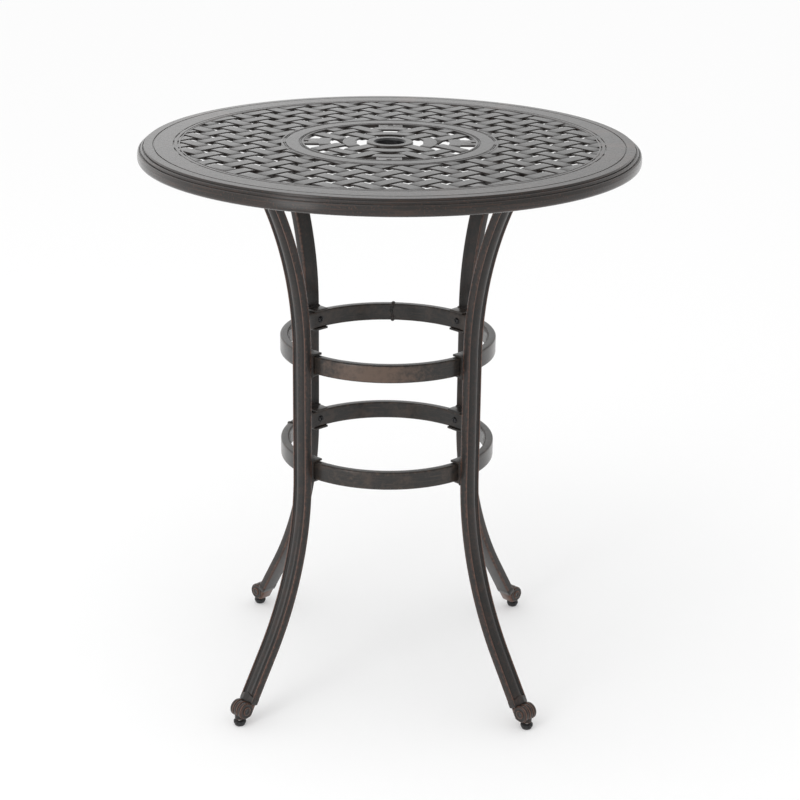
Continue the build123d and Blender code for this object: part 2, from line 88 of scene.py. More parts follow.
def length(name, millimetres, description):
    """A length property, given in millimetres."""
    return FloatProperty(name=name, description=description, default=millimetres * MM, min=0.0,
                         precision=5, subtype="DISTANCE", unit="LENGTH")


def colour(name, value, description):
    """A colour property."""
    return FloatVectorProperty(name=name, description=description, default=value, size=4,
                               min=0.0, max=1.0, subtype="COLOR")


def share(name, value, description):
    """A plain number from 0 to 1."""
    return FloatProperty(name=name, description=description, default=value, min=0.0, max=1.0,
                         subtype="FACTOR")


def angle(name, degrees, description):
    """An angle property, given in degrees."""
    return FloatProperty(name=name, description=description, default=math.radians(degrees), subtype="ANGLE")


def amount(name, value, description, unit="NONE"):
    """A number of 0 or more."""
    return FloatProperty(name=name, description=description, default=value, min=0.0, unit=unit)


class TopSizes(bpy.types.PropertyGroup):
    """Sizes of the woven top."""

    pitch: length("Weave Pitch", 44, "Distance between neighbouring bands of the weave")
    band_width: length("Band Width", 23.5, "Width of a woven band")
    band_thickness: length("Band Thickness", 3.4, "Thickness of a woven band")
    band_edge: length("Band Edge", 0.8, "Rounding of a band's edges")
    relief: length("Relief", 1.6, "How far a band rises and dips where it crosses another")
    drop: length("Weave Drop", 0.5, "How far the weave lies below the rim")
    rim_inner: length("Rim Inner Radius", 367, "Radius where the weave meets the rim")
    plateau: length("Plateau Radius", 413.8, "Radius of the engraved step in the rim")
    ledge: length("Ledge Radius", 430, "Radius of the ledge outside the step")
    lip: length("Lip Radius", 436, "Radius where the rounded skirt begins")
    skirt_depth: length("Skirt Depth", 28, "Height of the rim's outer edge")
    ring_outer: length("Ring Outer Radius", 191.4, "Outside of the flat inner ring")
    ring_inner: length("Ring Inner Radius", 151.6, "Inside of the flat inner ring")
    hub: length("Hub Radius", 41, "Outside of the hub's collar")
    hub_neck: length("Hub Neck Radius", 35, "Outside of the hub's neck below the collar")
    hub_depth: length("Hub Depth", 32, "Length of the hub")
    pole_hole: length("Umbrella Hole Radius", 25.5, "Inside of the sleeve in the hub")


class LegSizes(bpy.types.PropertyGroup):
    """Sizes of the legs and feet."""

    width: length("Leg Width", 34, "Width of the leg's section")
    back: length("Leg Back", 10, "From the leg's centre line to its flat back")
    rib: length("Leg Rib", 7.6, "From the leg's centre line to the crest of its rib")
    shoulder: length("Shoulder", 4.6, "From the centre line to the foot of the rib")
    mid_radius: length("Middle Radius", 212.3, "Radius of the straight middle of the legs")
    low_bend: length("Lower Bend Start", 440, "Height where the lower bend begins")
    high_bend: length("Upper Bend Start", 668, "Height where the upper bend begins")
    low_bend_radius: length("Lower Bend Radius", 630, "Radius of the lower bend")
    high_bend_radius: length("Upper Bend Radius", 620, "Radius of the upper bend")
    end_height: length("Leg End Height", 42, "Height of the leg's lower end")
    flange_width: length("Flange Width", 82, "Width of the bolting flange")
    flange_depth: length("Flange Depth", 34, "Depth of the bolting flange")
    flange_thickness: length("Flange Thickness", 6, "Thickness of the bolting flange")
    bolt_spread: length("Bolt Spread", 54, "Distance between a leg's two bolts")
    roll_radius: length("Toe Radius", 15.5, "Radius of the rolled toe")
    roll_width: length("Toe Width", 30, "Width of the rolled toe")
    roll_height: length("Toe Height", 30, "Height of the middle of the rolled toe")


class HoopSizes(bpy.types.PropertyGroup):
    """Sizes of the hoops, their brackets and bolts."""

    thickness: length("Hoop Thickness", 15, "Thickness of the hoop's bar")
    edge: length("Hoop Edge", 2.5, "Rounding of the hoop's edges")
    web: length("Bracket Web", 6, "Thickness of a bracket's web")
    gap: length("Bracket Gap", 0.3, "Play between hoop and bracket")
    flange: length("Bracket Flange", 4, "Thickness of a bracket's flanges")
    reach: length("Bracket Reach", 3, "How far the flanges pass the hoop's inner face")
    bracket_width: length("Bracket Width", 32, "Width of a bracket")
    bolt_head: length("Bolt Head Radius", 6.2, "Radius of a hoop bolt's head")
    bolt_dome: length("Bolt Head Height", 4, "Height of a hoop bolt's head")
    bead: length("Weld Bead Radius", 1.9, "Radius of the weld ripples")


class Finishes(bpy.types.PropertyGroup):
    """Colours of the finishes."""

    coat: colour("Coat", (0.0170, 0.0160, 0.0150, 1), "Dark bronze powder coat")
    rub: colour("Rub", (0.080, 0.040, 0.027, 1), "Copper-brown tone rubbed through the coat")
    copper: colour("Copper Edge", (0.135, 0.064, 0.043, 1), "Brighter copper on the edges of the legs")
    # Paler tone of the hoops' scuffed edges, also the painted highlight on their fronts
    scuff_and_highlight: colour("Worn", (0.100, 0.066, 0.048, 1), "Paler bronze where the hoops are worn")
    zinc: colour("Zinc", (0.62, 0.62, 0.60, 1), "Bright zinc plate")
    oxide: colour("Black Oxide", (0.045, 0.045, 0.047, 1), "Blackened steel")
    brass: colour("Brass", (0.60, 0.42, 0.17, 1), "Turned brass")
    moulding: colour("Moulding", (0.012, 0.012, 0.013, 1), "Black moulded plastic")
    floor: colour("Floor", (0.86, 0.86, 0.86, 1), "Pale studio floor")
    coat_roughness: share("Coat Roughness", 0.40, "Roughness of the powder coat")


class StageSizes(bpy.types.PropertyGroup):
    """Camera and light."""

    lens: amount("Lens", 88.99, "Focal length for a 36 mm sensor", "CAMERA")
    distance: length("Camera Distance", 3434.4, "Level distance from the table's middle to the camera")
    height: length("Camera Height", 1737.9, "Height of the camera")
    swing: angle("Swing", -0.389, "Camera's place round the table")
    yaw: angle("Yaw", -0.002, "Camera's turn from the table's middle line")
    pitch: angle("Pitch", 19.322, "Camera's downward tilt")
    roll: angle("Roll", 0.690, "Camera's sideways tilt")
    world: amount("World Light", 1.0, "Strength of the even light")
    fall: share("Right Side", 0.7, "How bright the room at the right looks in the lacquer")
    lamp: amount("Lamp Power", 15.0, "Power of the overhead soft light", "POWER")
    side_lamp: amount("Side Lamp Power", 19.0, "Power of the soft light at the left", "POWER")


class BarTable(bpy.types.PropertyGroup):
    """Everything a user would change."""

    top: PointerProperty(type=TopSizes, name="Top", description="Sizes of the woven top")
    leg: PointerProperty(type=LegSizes, name="Legs", description="Sizes of the legs and feet")
    hoop: PointerProperty(type=HoopSizes, name="Hoops", description="Sizes of hoops and brackets")
    finish: PointerProperty(type=Finishes, name="Finishes", description="Colours of the finishes")
    stage: PointerProperty(type=StageSizes, name="Stage", description="Camera and light")
    seed: IntProperty(name="Seed", description="Seed of the weld ripples and bolt turns", default=7)


def settings():
    """The table's properties."""
    return bpy.context.scene.bar_table


class Nodes:
    """Adds and joins the nodes of one tree."""

    def __init__(self, tree):
        self.tree = tree

    def feed(self, socket, value):
        """Links or sets an input."""
        if isinstance(value, bpy.types.NodeSocket):
            self.tree.links.new(value, socket)
        else:
            socket.default_value = value

    def add(self, kind, inputs=None, **options):
        """A new node."""
        made = self.tree.nodes.new(kind)
        for name, value in options.items():
            setattr(made, name, value)
        for key, value in (inputs or {}).items():
            self.feed(made.inputs[key], value)
        return made

    def out(self, kind, inputs=None, socket=0, **options):
        """One output of a new node."""
        return self.add(kind, inputs, **options).outputs[socket]

    def math(self, operation, first, second=0.0):
        """The result of a calculation."""
        return self.out("ShaderNodeMath", {0: first, 1: second}, operation=operation)

    def vector(self, x=0.0, y=0.0, z=0.0):
        """A vector of three values."""
        return self.out("ShaderNodeCombineXYZ", {0: x, 1: y, 2: z})

    def split(self, vector):
        """The three values of a vector."""
        return self.add("ShaderNodeSeparateXYZ", {0: vector}).outputs


def live(sockets, kind):
    """The sockets of one kind that a node's mode has switched on."""
    return [socket for socket in sockets if socket.enabled and socket.type == kind]


# Geometry trees

WEAVE_SOCKETS = [
    ("Section", "Object"), ("Run", "Object"), ("Pitch", "Float"), ("Bands", "Int"),
    ("Inner Radius", "Float"), ("Outer Radius", "Float"), ("Level", "Float"), ("Relief", "Float"),
    ("Flatness", "Float"), ("Bias", "Float")]


def geometry_tree(name, sockets, takes_mesh=True):
    """An empty geometry tree with named inputs. Returns the tree, its helper and its group input."""
    tree = bpy.data.node_groups.new(name, "GeometryNodeTree")
    if takes_mesh:
        sockets = [("Geometry", "Geometry"), *sockets]
    for socket, kind in sockets:
        tree.interface.new_socket(socket, in_out="INPUT", socket_type=f"NodeSocket{kind}")
    tree.interface.new_socket("Geometry", in_out="OUTPUT", socket_type="NodeSocketGeometry")
    nodes = Nodes(tree)
    return tree, nodes, nodes.add("NodeGroupInput").outputs


def end_tree(nodes, geometry, material):
    """Closes a tree: real geometry, smooth, with its material."""
    real = nodes.out("GeometryNodeRealizeInstances", {0: geometry})
    smooth = nodes.out("GeometryNodeSetShadeSmooth", {"Geometry": real})
    painted = nodes.out("GeometryNodeSetMaterial", {"Geometry": smooth, "Material": material})
    nodes.add("NodeGroupOutput", {0: painted})


def bar_along(nodes, curve, section):
    """Sweeps the outline that a section object holds along a curve."""
    held = nodes.out("GeometryNodeObjectInfo", {"Object": section}, "Geometry")
    outline = nodes.out("GeometryNodeMeshToCurve", {0: held})
    return nodes.out("GeometryNodeCurveToMesh", {"Curve": curve, "Profile Curve": outline, "Fill Caps": True})


def path_tree():
    """Sweeps a section along the object's own edges, flat to the ground or with the least twist."""
    tree, nodes, given = geometry_tree("Bar Along Path", [
        ("Section", "Object"), ("Level Section", "Bool"), ("Material", "Material")])
    path = nodes.out("GeometryNodeMeshToCurve", {0: given["Geometry"]})
    free = nodes.out("GeometryNodeSetCurveNormal", {"Curve": path}, mode="MINIMUM_TWIST")
    level = nodes.out("GeometryNodeSetCurveNormal", {"Curve": path}, mode="Z_UP")
    either = nodes.out("GeometryNodeSwitch", {0: given["Level Section"], 1: free, 2: level},
                       input_type="GEOMETRY")
    end_tree(nodes, bar_along(nodes, either, given["Section"]), given["Material"])
    return tree


def band_set_tree():
    """One set of parallel bands that rise and dip along their length, cut to a ring."""
    tree, nodes, given = geometry_tree(
        "Band Set", WEAVE_SOCKETS + [("Shift", "Float"), ("Turn", "Float")], takes_mesh=False)
    # Straight lines of points side by side
    line = nodes.out("GeometryNodeObjectInfo", {"Object": given["Run"]}, "Geometry")
    span = nodes.math("MULTIPLY", nodes.math("SUBTRACT", given["Bands"], 1.0), given["Pitch"])
    rows = nodes.out("GeometryNodeMeshLine", {
        "Count": given["Bands"], "Start Location": nodes.vector(y=nodes.math("MULTIPLY", span, -0.5)),
        "Offset": nodes.vector(y=given["Pitch"])})
    copies = nodes.out("GeometryNodeInstanceOnPoints", {"Points": rows, "Instance": line})
    lines = nodes.out("GeometryNodeRealizeInstances", {0: copies})
    # Points past the rim are drawn back to it, and the rest rise and dip
    x, y, _ = nodes.split(nodes.out("GeometryNodeInputPosition"))
    squares = nodes.math("SUBTRACT", nodes.math("POWER", given["Outer Radius"], 2.0),
                         nodes.math("POWER", nodes.math("ABSOLUTE", y), 2.0))
    half = nodes.math("SQRT", nodes.math("MAXIMUM", squares, 0.0))
    shift = nodes.math("ADD", y, given["Shift"])
    along = nodes.math("MINIMUM", nodes.math("SUBTRACT", x, shift), half)
    along = nodes.math("MAXIMUM", along, nodes.math("MULTIPLY", half, -1.0))
    crossing = nodes.math("DIVIDE", nodes.math("ADD", along, shift), given["Pitch"])
    wave = nodes.math("COSINE", nodes.math("MULTIPLY", crossing, math.pi))
    steep = nodes.math("MULTIPLY", nodes.math("ADD", wave, given["Bias"]), given["Flatness"])
    rise = nodes.math("MULTIPLY", nodes.math("TANH", steep), given["Relief"])
    target = nodes.vector(along, y, nodes.math("ADD", given["Level"], rise))
    wavy = nodes.out("GeometryNodeSetPosition", {"Geometry": lines, "Position": target})
    woven = nodes.out("GeometryNodeMergeByDistance", {"Geometry": wavy, "Distance": 0.2 * MM})
    # The inner ring's opening is cut out
    x, y, _ = nodes.split(nodes.out("GeometryNodeInputPosition"))
    radius = nodes.out("ShaderNodeVectorMath", {0: nodes.vector(x, y)}, "Value", operation="LENGTH")
    inside = nodes.math("LESS_THAN", radius, given["Inner Radius"])
    cut = nodes.out("GeometryNodeDeleteGeometry", {"Geometry": woven, "Selection": inside})
    path = nodes.out("GeometryNodeMeshToCurve", {0: cut})
    upright = nodes.out("GeometryNodeSetCurveNormal", {"Curve": path}, mode="Z_UP")
    bands = bar_along(nodes, upright, given["Section"])
    whole = nodes.out("GeometryNodeTransform", {"Geometry": bands, "Rotation": nodes.vector(z=given["Turn"])})
    nodes.add("NodeGroupOutput", {0: whole})
    return tree


def weave_tree():
    """Two sets of bands, square to each other, one over where the other is under."""
    tree, nodes, given = geometry_tree("Woven Lattice", WEAVE_SOCKETS + [("Material", "Material")])
    band_set = band_set_tree()
    shared = {name: given[name] for name, _ in WEAVE_SOCKETS}
    both = nodes.add("GeometryNodeJoinGeometry")
    for degrees, shift in ((45, 0.0), (135, given["Pitch"])):
        bands = nodes.out("GeometryNodeGroup", {**shared, "Shift": shift, "Turn": math.radians(degrees)},
                          node_tree=band_set)
        nodes.feed(both.inputs[0], bands)
    end_tree(nodes, both.outputs[0], given["Material"])
    return tree


def places_tree():
    """Sets a copy of one piece at each of the object's points, turned by the point's turn."""
    tree, nodes, given = geometry_tree("Pieces At Places", [("Piece", "Object"), ("Material", "Material")])
    piece = nodes.out("GeometryNodeObjectInfo", {"Object": given["Piece"]}, "Geometry")
    turn = nodes.out("GeometryNodeInputNamedAttribute", {"Name": "turn"}, "Attribute", data_type="FLOAT")
    copies = nodes.out("GeometryNodeInstanceOnPoints", {
        "Points": given["Geometry"], "Instance": piece, "Rotation": nodes.vector(z=turn)})
    end_tree(nodes, copies, given["Material"])
    return tree


def weld_tree():
    """Overlapping ripples of weld along the object's edges."""
    tree, nodes, given = geometry_tree("Weld Ripples", [
        ("Radius", "Float"), ("Spacing", "Float"), ("Seed", "Int"), ("Material", "Material")])
    path = nodes.out("GeometryNodeMeshToCurve", {0: given["Geometry"]})
    points = nodes.out("GeometryNodeCurveToPoints", {"Curve": path, "Length": given["Spacing"]}, "Points",
                       mode="LENGTH")
    drop = nodes.out("GeometryNodeMeshIcoSphere", {"Radius": given["Radius"], "Subdivisions": 2})
    size = nodes.add("FunctionNodeRandomValue", {"Min": 0.65, "Max": 1.15, "Seed": given["Seed"]},
                     data_type="FLOAT")
    copies = nodes.out("GeometryNodeInstanceOnPoints", {
        "Points": points, "Instance": drop, "Scale": live(size.outputs, "VALUE")[0]})
    end_tree(nodes, copies, given["Material"])
    return tree


def tree_named(name):
    """A node tree, built once."""
    return bpy.data.node_groups.get(name) or TREES[name]()


def run_tree(name, holder, tree_name, values):
    """Runs a tree on a holder object, and returns the result as a plain new object."""
    tree = tree_named(tree_name)
    modifier = holder.modifiers.new("build", "NODES")
    modifier.node_group = tree
    sockets = {s.name: s.identifier for s in tree.interface.items_tree if s.in_out == "INPUT"}
    for socket, value in values.items():
        modifier[sockets[socket]] = value
    bpy.context.view_layer.update()
    ready = holder.evaluated_get(bpy.context.evaluated_depsgraph_get())
    mesh = bpy.data.meshes.new_from_object(ready)
    mesh.name = name
    holder.modifiers.remove(modifier)
    discard(holder)
    return linked(name, mesh)


# Mesh making


def linked(name, data):
    """A new object in the scene."""
    made = bpy.data.objects.new(name, data)
    bpy.context.scene.collection.objects.link(made)
    return made


def discard(*objects):
    """Removes helper objects and their meshes."""
    for used in objects:
        mesh = used.data
        bpy.data.objects.remove(used)
        if mesh.users == 0:
            bpy.data.meshes.remove(mesh)


def mesh_object(name, points, faces, edges=(), rub=None, material=None):
    """A plain mesh object at the origin, smooth, with a rub value at each point."""
    mesh = bpy.data.meshes.new(name)
    mesh.from_pydata([tuple(p) for p in points], list(edges), faces)
    if rub is not None:
        mesh.attributes.new("rub", "FLOAT", "POINT").data.foreach_set("value", rub)
    if faces:
        mesh.shade_smooth()
    if material:
        mesh.materials.append(material)
    return linked(name, mesh)


@contextmanager
def opened(piece):
    """A piece's mesh, open for changes."""
    mesh = bmesh.new()
    mesh.from_mesh(piece.data)
    yield mesh
    mesh.to_mesh(piece.data)
    mesh.free()


def tidy_mesh(piece):
    """Merges doubled points and turns every face outward."""
    with opened(piece) as mesh:
        bmesh.ops.remove_doubles(mesh, verts=mesh.verts, dist=1e-7)
        bmesh.ops.recalc_face_normals(mesh, faces=mesh.faces)
    return piece


def skin(name, rings, material, rub=None, looped=False):
    """Skins closed rings of points. The first and last ring are capped, unless the rings loop."""
    count, last = len(rings[0]), len(rings) - 1
    faces = []
    for ring in range(last + looped):
        low, high = ring * count, (ring + 1) % len(rings) * count
        for i in range(count):
            ahead = (i + 1) % count
            faces.append((low + i, low + ahead, high + ahead, high + i))
    if not looped:
        faces += [tuple(first + i for i in range(count)) for first in (0, last * count)]
    points = [point for ring in rings for point in ring]
    return tidy_mesh(mesh_object(name, points, faces, rub=rub, material=material))


def turn_sign(outline):
    """1 for an outline that runs anticlockwise, or else -1."""
    ahead = outline[1:] + outline[:1]
    area = sum(a[0] * b[1] - b[0] * a[1] for a, b in zip(outline, ahead))
    return 1 if area > 0 else -1


def arc_points(centre, start, swing, steps):
    """Points from a start beside a centre, round it by a swing."""
    points = []
    for step in range(steps + 1):
        arm = start.copy()
        arm.rotate(Matrix.Rotation(-swing * step / steps, 2))
        points.append(tuple(centre + arm))
    return points


def rectangle(left, right, low, high, *edges):
    """Corners of a rectangle from the lower left, with one rounding or four."""
    places = ((left, low), (right, low), (right, high), (left, high))
    return [(*place, edge) for place, edge in zip(places, edges * 4)]


def soften(corners, steps=4, fade=2.5 * MM):
    """Rounds a closed outline's corners (x, y, radius). Gives (x, y, rub), with rub 1 on outward corners."""
    outward = turn_sign(corners)
    outline = []
    for i, (x, y, radius) in enumerate(corners):
        here = Vector((x, y))
        before = Vector(corners[i - 1][:2]) - here
        after = Vector(corners[(i + 1) % len(corners)][:2]) - here
        room = min(before.length, after.length) * 0.49
        before.normalize()
        after.normalize()
        inner = before.angle(after)
        if radius <= 0.0 or math.pi - inner < 1e-3:
            outline.append((x, y, 0.0))
            continue
        rub = 1.0 if (-before).cross(after) * outward > 0 else 0.0
        reach = min(radius / math.tan(inner / 2), room)
        radius = reach * math.tan(inner / 2)
        spare = min(fade, room - reach)
        fades = spare > 1e-5
        centre = here + (before + after).normalized() * (radius / math.sin(inner / 2))
        start, end = here + before * reach - centre, here + after * reach - centre
        if fades:
            outline.append((*(here + before * (reach + spare)), 0.0))
        outline += [(*point, rub) for point in arc_points(centre, start, start.angle_signed(end), steps)]
        if fades:
            outline.append((*(here + after * (reach + spare)), 0.0))
    return outline


def lathe(name, outline, segments, material, reshape=None):
    """Turns a closed (radius, height, rub) outline about Z. reshape(radius, turn, row) can move a point."""
    rings = []
    for segment in range(segments):
        turn = 2 * math.pi * segment / segments
        ring = []
        for row, (radius, height, _) in enumerate(outline):
            shaped = reshape(radius, turn, row) if reshape else radius
            ring.append((shaped * math.cos(turn), shaped * math.sin(turn), height))
        rings.append(ring)
    return skin(name, rings, material, [rub for _, _, rub in outline] * segments, looped=True)


def hexagonal(*rows):
    """Gives some rows of a turned outline six flats, at the rows' radius."""
    def reshape(radius, turn, row):
        if row not in rows:
            return radius
        return radius / math.cos((turn + math.pi / 6) % (math.pi / 3) - math.pi / 6)

    return reshape


def prism(name, outline, bottom, top, edge, material):
    """An upright prism over an (x, y, rub) outline, with rounded upper and lower edges."""
    steps = 3
    turns = [math.pi / 2 * step / steps for step in range(steps + 1)]
    levels = [(edge * (1 - math.sin(turn)), bottom + edge * (1 - math.cos(turn))) for turn in turns]
    levels += [(inset, top - (height - bottom)) for inset, height in reversed(levels)]
    outward = turn_sign(outline)
    normals = []
    for i in range(len(outline)):
        ahead = Vector(outline[(i + 1) % len(outline)][:2]) - Vector(outline[i - 1][:2])
        normals.append(Vector((ahead.y, -ahead.x)).normalized() * outward)
    rings = [[(x - normal.x * inset, y - normal.y * inset, height)
              for (x, y, _), normal in zip(outline, normals)] for inset, height in levels]
    return skin(name, rings, material, [1.0] * len(outline) * len(levels))


def section_object(name, outline):
    """A closed outline (x, y, rub) as an edge loop for the trees."""
    count = len(outline)
    loop = [(i, (i + 1) % count) for i in range(count)]
    return mesh_object(name, [(x, y, 0) for x, y, _ in outline], [], loop, [rub for _, _, rub in outline])


def path_object(name, runs):
    """One or more point runs as edges. A run that ends where it starts is closed."""
    points, edges = [], []
    for run in runs:
        closed = (Vector(run[0]) - Vector(run[-1])).length < 1e-6
        kept = run[:-1] if closed else run
        first = len(points)
        points += kept
        edges += [(first + i, first + i + 1) for i in range(len(kept) - 1)]
        if closed:
            edges.append((len(points) - 1, first))
    return mesh_object(name, points, [], edges)


def swept(name, runs, outline, level, material):
    """Sweeps an outline along runs of points."""
    section = section_object(f"{name}_section", outline)
    made = run_tree(name, path_object(name, runs), "Bar Along Path", {
        "Section": section, "Level Section": level, "Material": material})
    discard(section)
    return tidy_mesh(made)


def placed(name, template, places, material):
    """Copies a template to (point, turn) places."""
    holder = mesh_object(name, [point for point, _ in places], [])
    turns = holder.data.attributes.new("turn", "FLOAT", "POINT")
    turns.data.foreach_set("value", [turn for _, turn in places])
    made = run_tree(name, holder, "Pieces At Places", {"Piece": template, "Material": material})
    discard(template)
    return made


def welded(name, runs, radius):
    """Weld ripples along runs of points."""
    return run_tree(name, path_object(name, runs), "Weld Ripples", {
        "Radius": radius, "Spacing": radius * 1.05, "Seed": settings().seed, "Material": bronze("welds")})


def joined(name, *pieces):
    """Several pieces as one."""
    mesh = bmesh.new()
    for piece in pieces:
        mesh.from_mesh(piece.data)
    material = pieces[0].data.materials[0]
    discard(*pieces)
    made = mesh_object(name, [], [], material=material)
    mesh.to_mesh(made.data)
    mesh.free()
    return made


def moved(piece, matrix):
    """Moves a piece's mesh."""
    piece.data.transform(matrix)
    return piece


def turned(piece, degrees):
    """Turns a piece's mesh about Z."""
    return moved(piece, Matrix.Rotation(math.radians(degrees), 4, "Z"))


def hand_in(piece, body, slot, *nodes):
    """Sets a finished piece on its body, in place of CAD nodes."""
    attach(piece, body)
    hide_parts(*nodes)


def hand_in_cast(piece, *nodes):
    """Sets a finished piece with the bronze coat on the table."""
    hand_in(piece, BODY, "bronze_coat", *nodes)


# Finishes

LACQUER_IOR = 1.37
LACQUER_ROUGHNESS = 0.22
# Share of the lacquer left in the low parts of the top: painted shade
SHADED_RECESS_LACQUER = 0.15
CASTING_GRAIN = 0.25 * MM

# The bronze coats: how much the second tone shows on edges and in patches, the size of the patches,
# the unevenness of the casting, and the gloss of the coat and of the lacquer over it
COATS = {
    "top": dict(edge=0.10, patch=0.08, scale=16.0, wave=0.3, gloss=0.10, lacquer=1.0,
                # Heights where the top's lacquer fades: painted shade in the low parts of the weave
                shaded_recess=(TABLE_HEIGHT - 5.0 * MM, TABLE_HEIGHT - 1.6 * MM)),
    "rim": dict(edge=0.10, patch=0.10, scale=16.0, wave=0.3, gloss=0.10, lacquer=1.0,
                specks=0.6, streaks=0.45),
    "legs": dict(edge=0.9, patch=0.13, scale=26.0, wave=0.4, gloss=0.16, lacquer=0.66, second="copper"),
    "hoops": dict(edge=1.0, patch=0.34, scale=16.0, wave=0.5, peel=0.4, gloss=0.18, lacquer=0.75,
                  streaks=0.22, second="scuff_and_highlight"),
    "welds": dict(edge=0.2, patch=0.35, scale=40.0, wave=0.9, peel=0.9, gloss=0.42, rougher=0.12),
}


def shader_group(name, inputs, outputs):
    """An empty shader node group with named sockets."""
    tree = bpy.data.node_groups.new(name, "ShaderNodeTree")
    for socket, kind, default in inputs:
        made = tree.interface.new_socket(socket, in_out="INPUT", socket_type=f"NodeSocket{kind}")
        made.default_value = default
    for socket, kind in outputs:
        tree.interface.new_socket(socket, in_out="OUTPUT", socket_type=f"NodeSocket{kind}")
    nodes = Nodes(tree)
    return tree, nodes, nodes.add("NodeGroupInput").outputs


def surface(nodes):
    """The place on the piece."""
    return nodes.out("ShaderNodeTexCoord", socket="Object")


def noise(nodes, where, scale, detail):
    """A noise value over the surface."""
    return nodes.out("ShaderNodeTexNoise", {
        "Vector": where, "Scale": scale, "Detail": detail, "Roughness": 0.55}, "Fac")


def ramp(nodes, value, low, high, start=0.0, end=1.0):
    """A value stretched from low..high to start..end, with soft ends."""
    return nodes.out("ShaderNodeMapRange", {
        "Value": value, "From Min": low, "From Max": high, "To Min": start, "To Max": end}, "Result",
        interpolation_type="SMOOTHSTEP")


def mixed(nodes, second_share, first, second):
    """Two colours mixed."""
    made = nodes.add("ShaderNodeMix", {"Factor": second_share}, data_type="RGBA")
    for socket, value in zip(live(made.inputs, "RGBA"), (first, second)):
        nodes.feed(socket, value)
    return live(made.outputs, "RGBA")[0]


def rubbed_coat_group():
    """Powder coat with a second tone rubbed through on edges, in soft patches, in specks and in streaks."""
    tree, nodes, given = shader_group("Rubbed Coat", [
        ("Coat", "Color", (0.04, 0.03, 0.03, 1)), ("Rub", "Color", (0.15, 0.08, 0.05, 1)),
        ("Edge", "Float", 0.0), ("Edge Amount", "Float", 0.5), ("Patch Amount", "Float", 0.5),
        ("Patch Scale", "Float", 14.0), ("Roughness", "Float", 0.4), ("Specks", "Float", 0.0),
        ("Streaks", "Float", 0.0)], [("Color", "Color"), ("Roughness", "Float")])
    where = surface(nodes)
    patches = noise(nodes, where, given["Patch Scale"], 3.0)
    small = noise(nodes, where, nodes.math("MULTIPLY", given["Patch Scale"], 7.0), 4.0)
    uneven = nodes.math("SUBTRACT", small, 0.5)
    broken_edge = nodes.math("ADD", given["Edge"], nodes.math("MULTIPLY", uneven, 1.5))
    both = nodes.math("ADD", nodes.math("MULTIPLY", patches, 0.6), nodes.math("MULTIPLY", small, 0.4))
    specks = noise(nodes, where, 330.0, 3.0)
    x, y, z = nodes.split(where)
    turn = nodes.math("ARCTAN2", y, x)
    round_axis = nodes.vector(nodes.math("MULTIPLY", turn, 5.0), nodes.math("MULTIPLY", z, 420.0))
    streaks = noise(nodes, round_axis, 1.0, 3.0)
    mask = 0.0
    for value, low, high, how_much in (
            (broken_edge, 0.2, 1.3, "Edge Amount"), (both, 0.44, 0.66, "Patch Amount"),
            (specks, 0.55, 0.68, "Specks"), (streaks, 0.50, 0.68, "Streaks")):
        shown = nodes.math("MULTIPLY", ramp(nodes, value, low, high), given[how_much])
        mask = nodes.math("MAXIMUM", shown, mask)
    tone = mixed(nodes, mask, given["Coat"], given["Rub"])
    dust = nodes.math("MULTIPLY", ramp(nodes, noise(nodes, where, 900.0, 2.0), 0.56, 0.80), 0.35)
    rougher = nodes.math("ADD", given["Roughness"], nodes.math("MULTIPLY", uneven, 0.22))
    roughness = nodes.math("ADD", rougher, nodes.math("MULTIPLY", mask, -0.05))
    nodes.add("NodeGroupOutput", {0: mixed(nodes, dust, tone, given["Rub"]), 1: roughness})
    return tree


def cast_grain_group():
    """The low waviness and fine orange peel of coated castings."""
    tree, nodes, given = shader_group("Cast Grain", [
        ("Wave", "Float", 0.5), ("Peel", "Float", 0.5)], [("Height", "Float")])
    where = surface(nodes)
    wave = nodes.math("MULTIPLY", noise(nodes, where, 90.0, 2.0), given["Wave"])
    peel = nodes.math("MULTIPLY", noise(nodes, where, 750.0, 2.0), given["Peel"])
    nodes.add("NodeGroupOutput", {0: nodes.math("ADD", wave, peel)})
    return tree


TREES = {
    "Bar Along Path": path_tree, "Woven Lattice": weave_tree, "Pieces At Places": places_tree,
    "Weld Ripples": weld_tree, "Rubbed Coat": rubbed_coat_group, "Cast Grain": cast_grain_group}


def emptied(data):
    """The nodes of a new material or world, cleared for others."""
    data.use_nodes = True
    data.node_tree.nodes.clear()
    return Nodes(data.node_tree)


def new_material(name):
    """A material with only its shader and output. Returns it, its helper and its shader."""
    material = bpy.data.materials.new(name)
    nodes = emptied(material)
    shader = nodes.add("ShaderNodeBsdfPrincipled")
    nodes.add("ShaderNodeOutputMaterial", {"Surface": shader.outputs[0]})
    return material, nodes, shader


def grain(nodes, shader, wave, peel, depth):
    """Gives the shader's normal the grain of a casting."""
    height = nodes.out("ShaderNodeGroup", {"Wave": wave, "Peel": peel}, "Height",
                       node_tree=tree_named("Cast Grain"))
    raised = nodes.out("ShaderNodeBump", {"Height": height, "Distance": depth, "Strength": 1.0})
    nodes.feed(shader.inputs["Normal"], raised)


def bronze(part):
    """One of the bronze coats."""
    name = f"bronze_{part}"
    return bpy.data.materials.get(name) or new_bronze(name, **COATS[part])


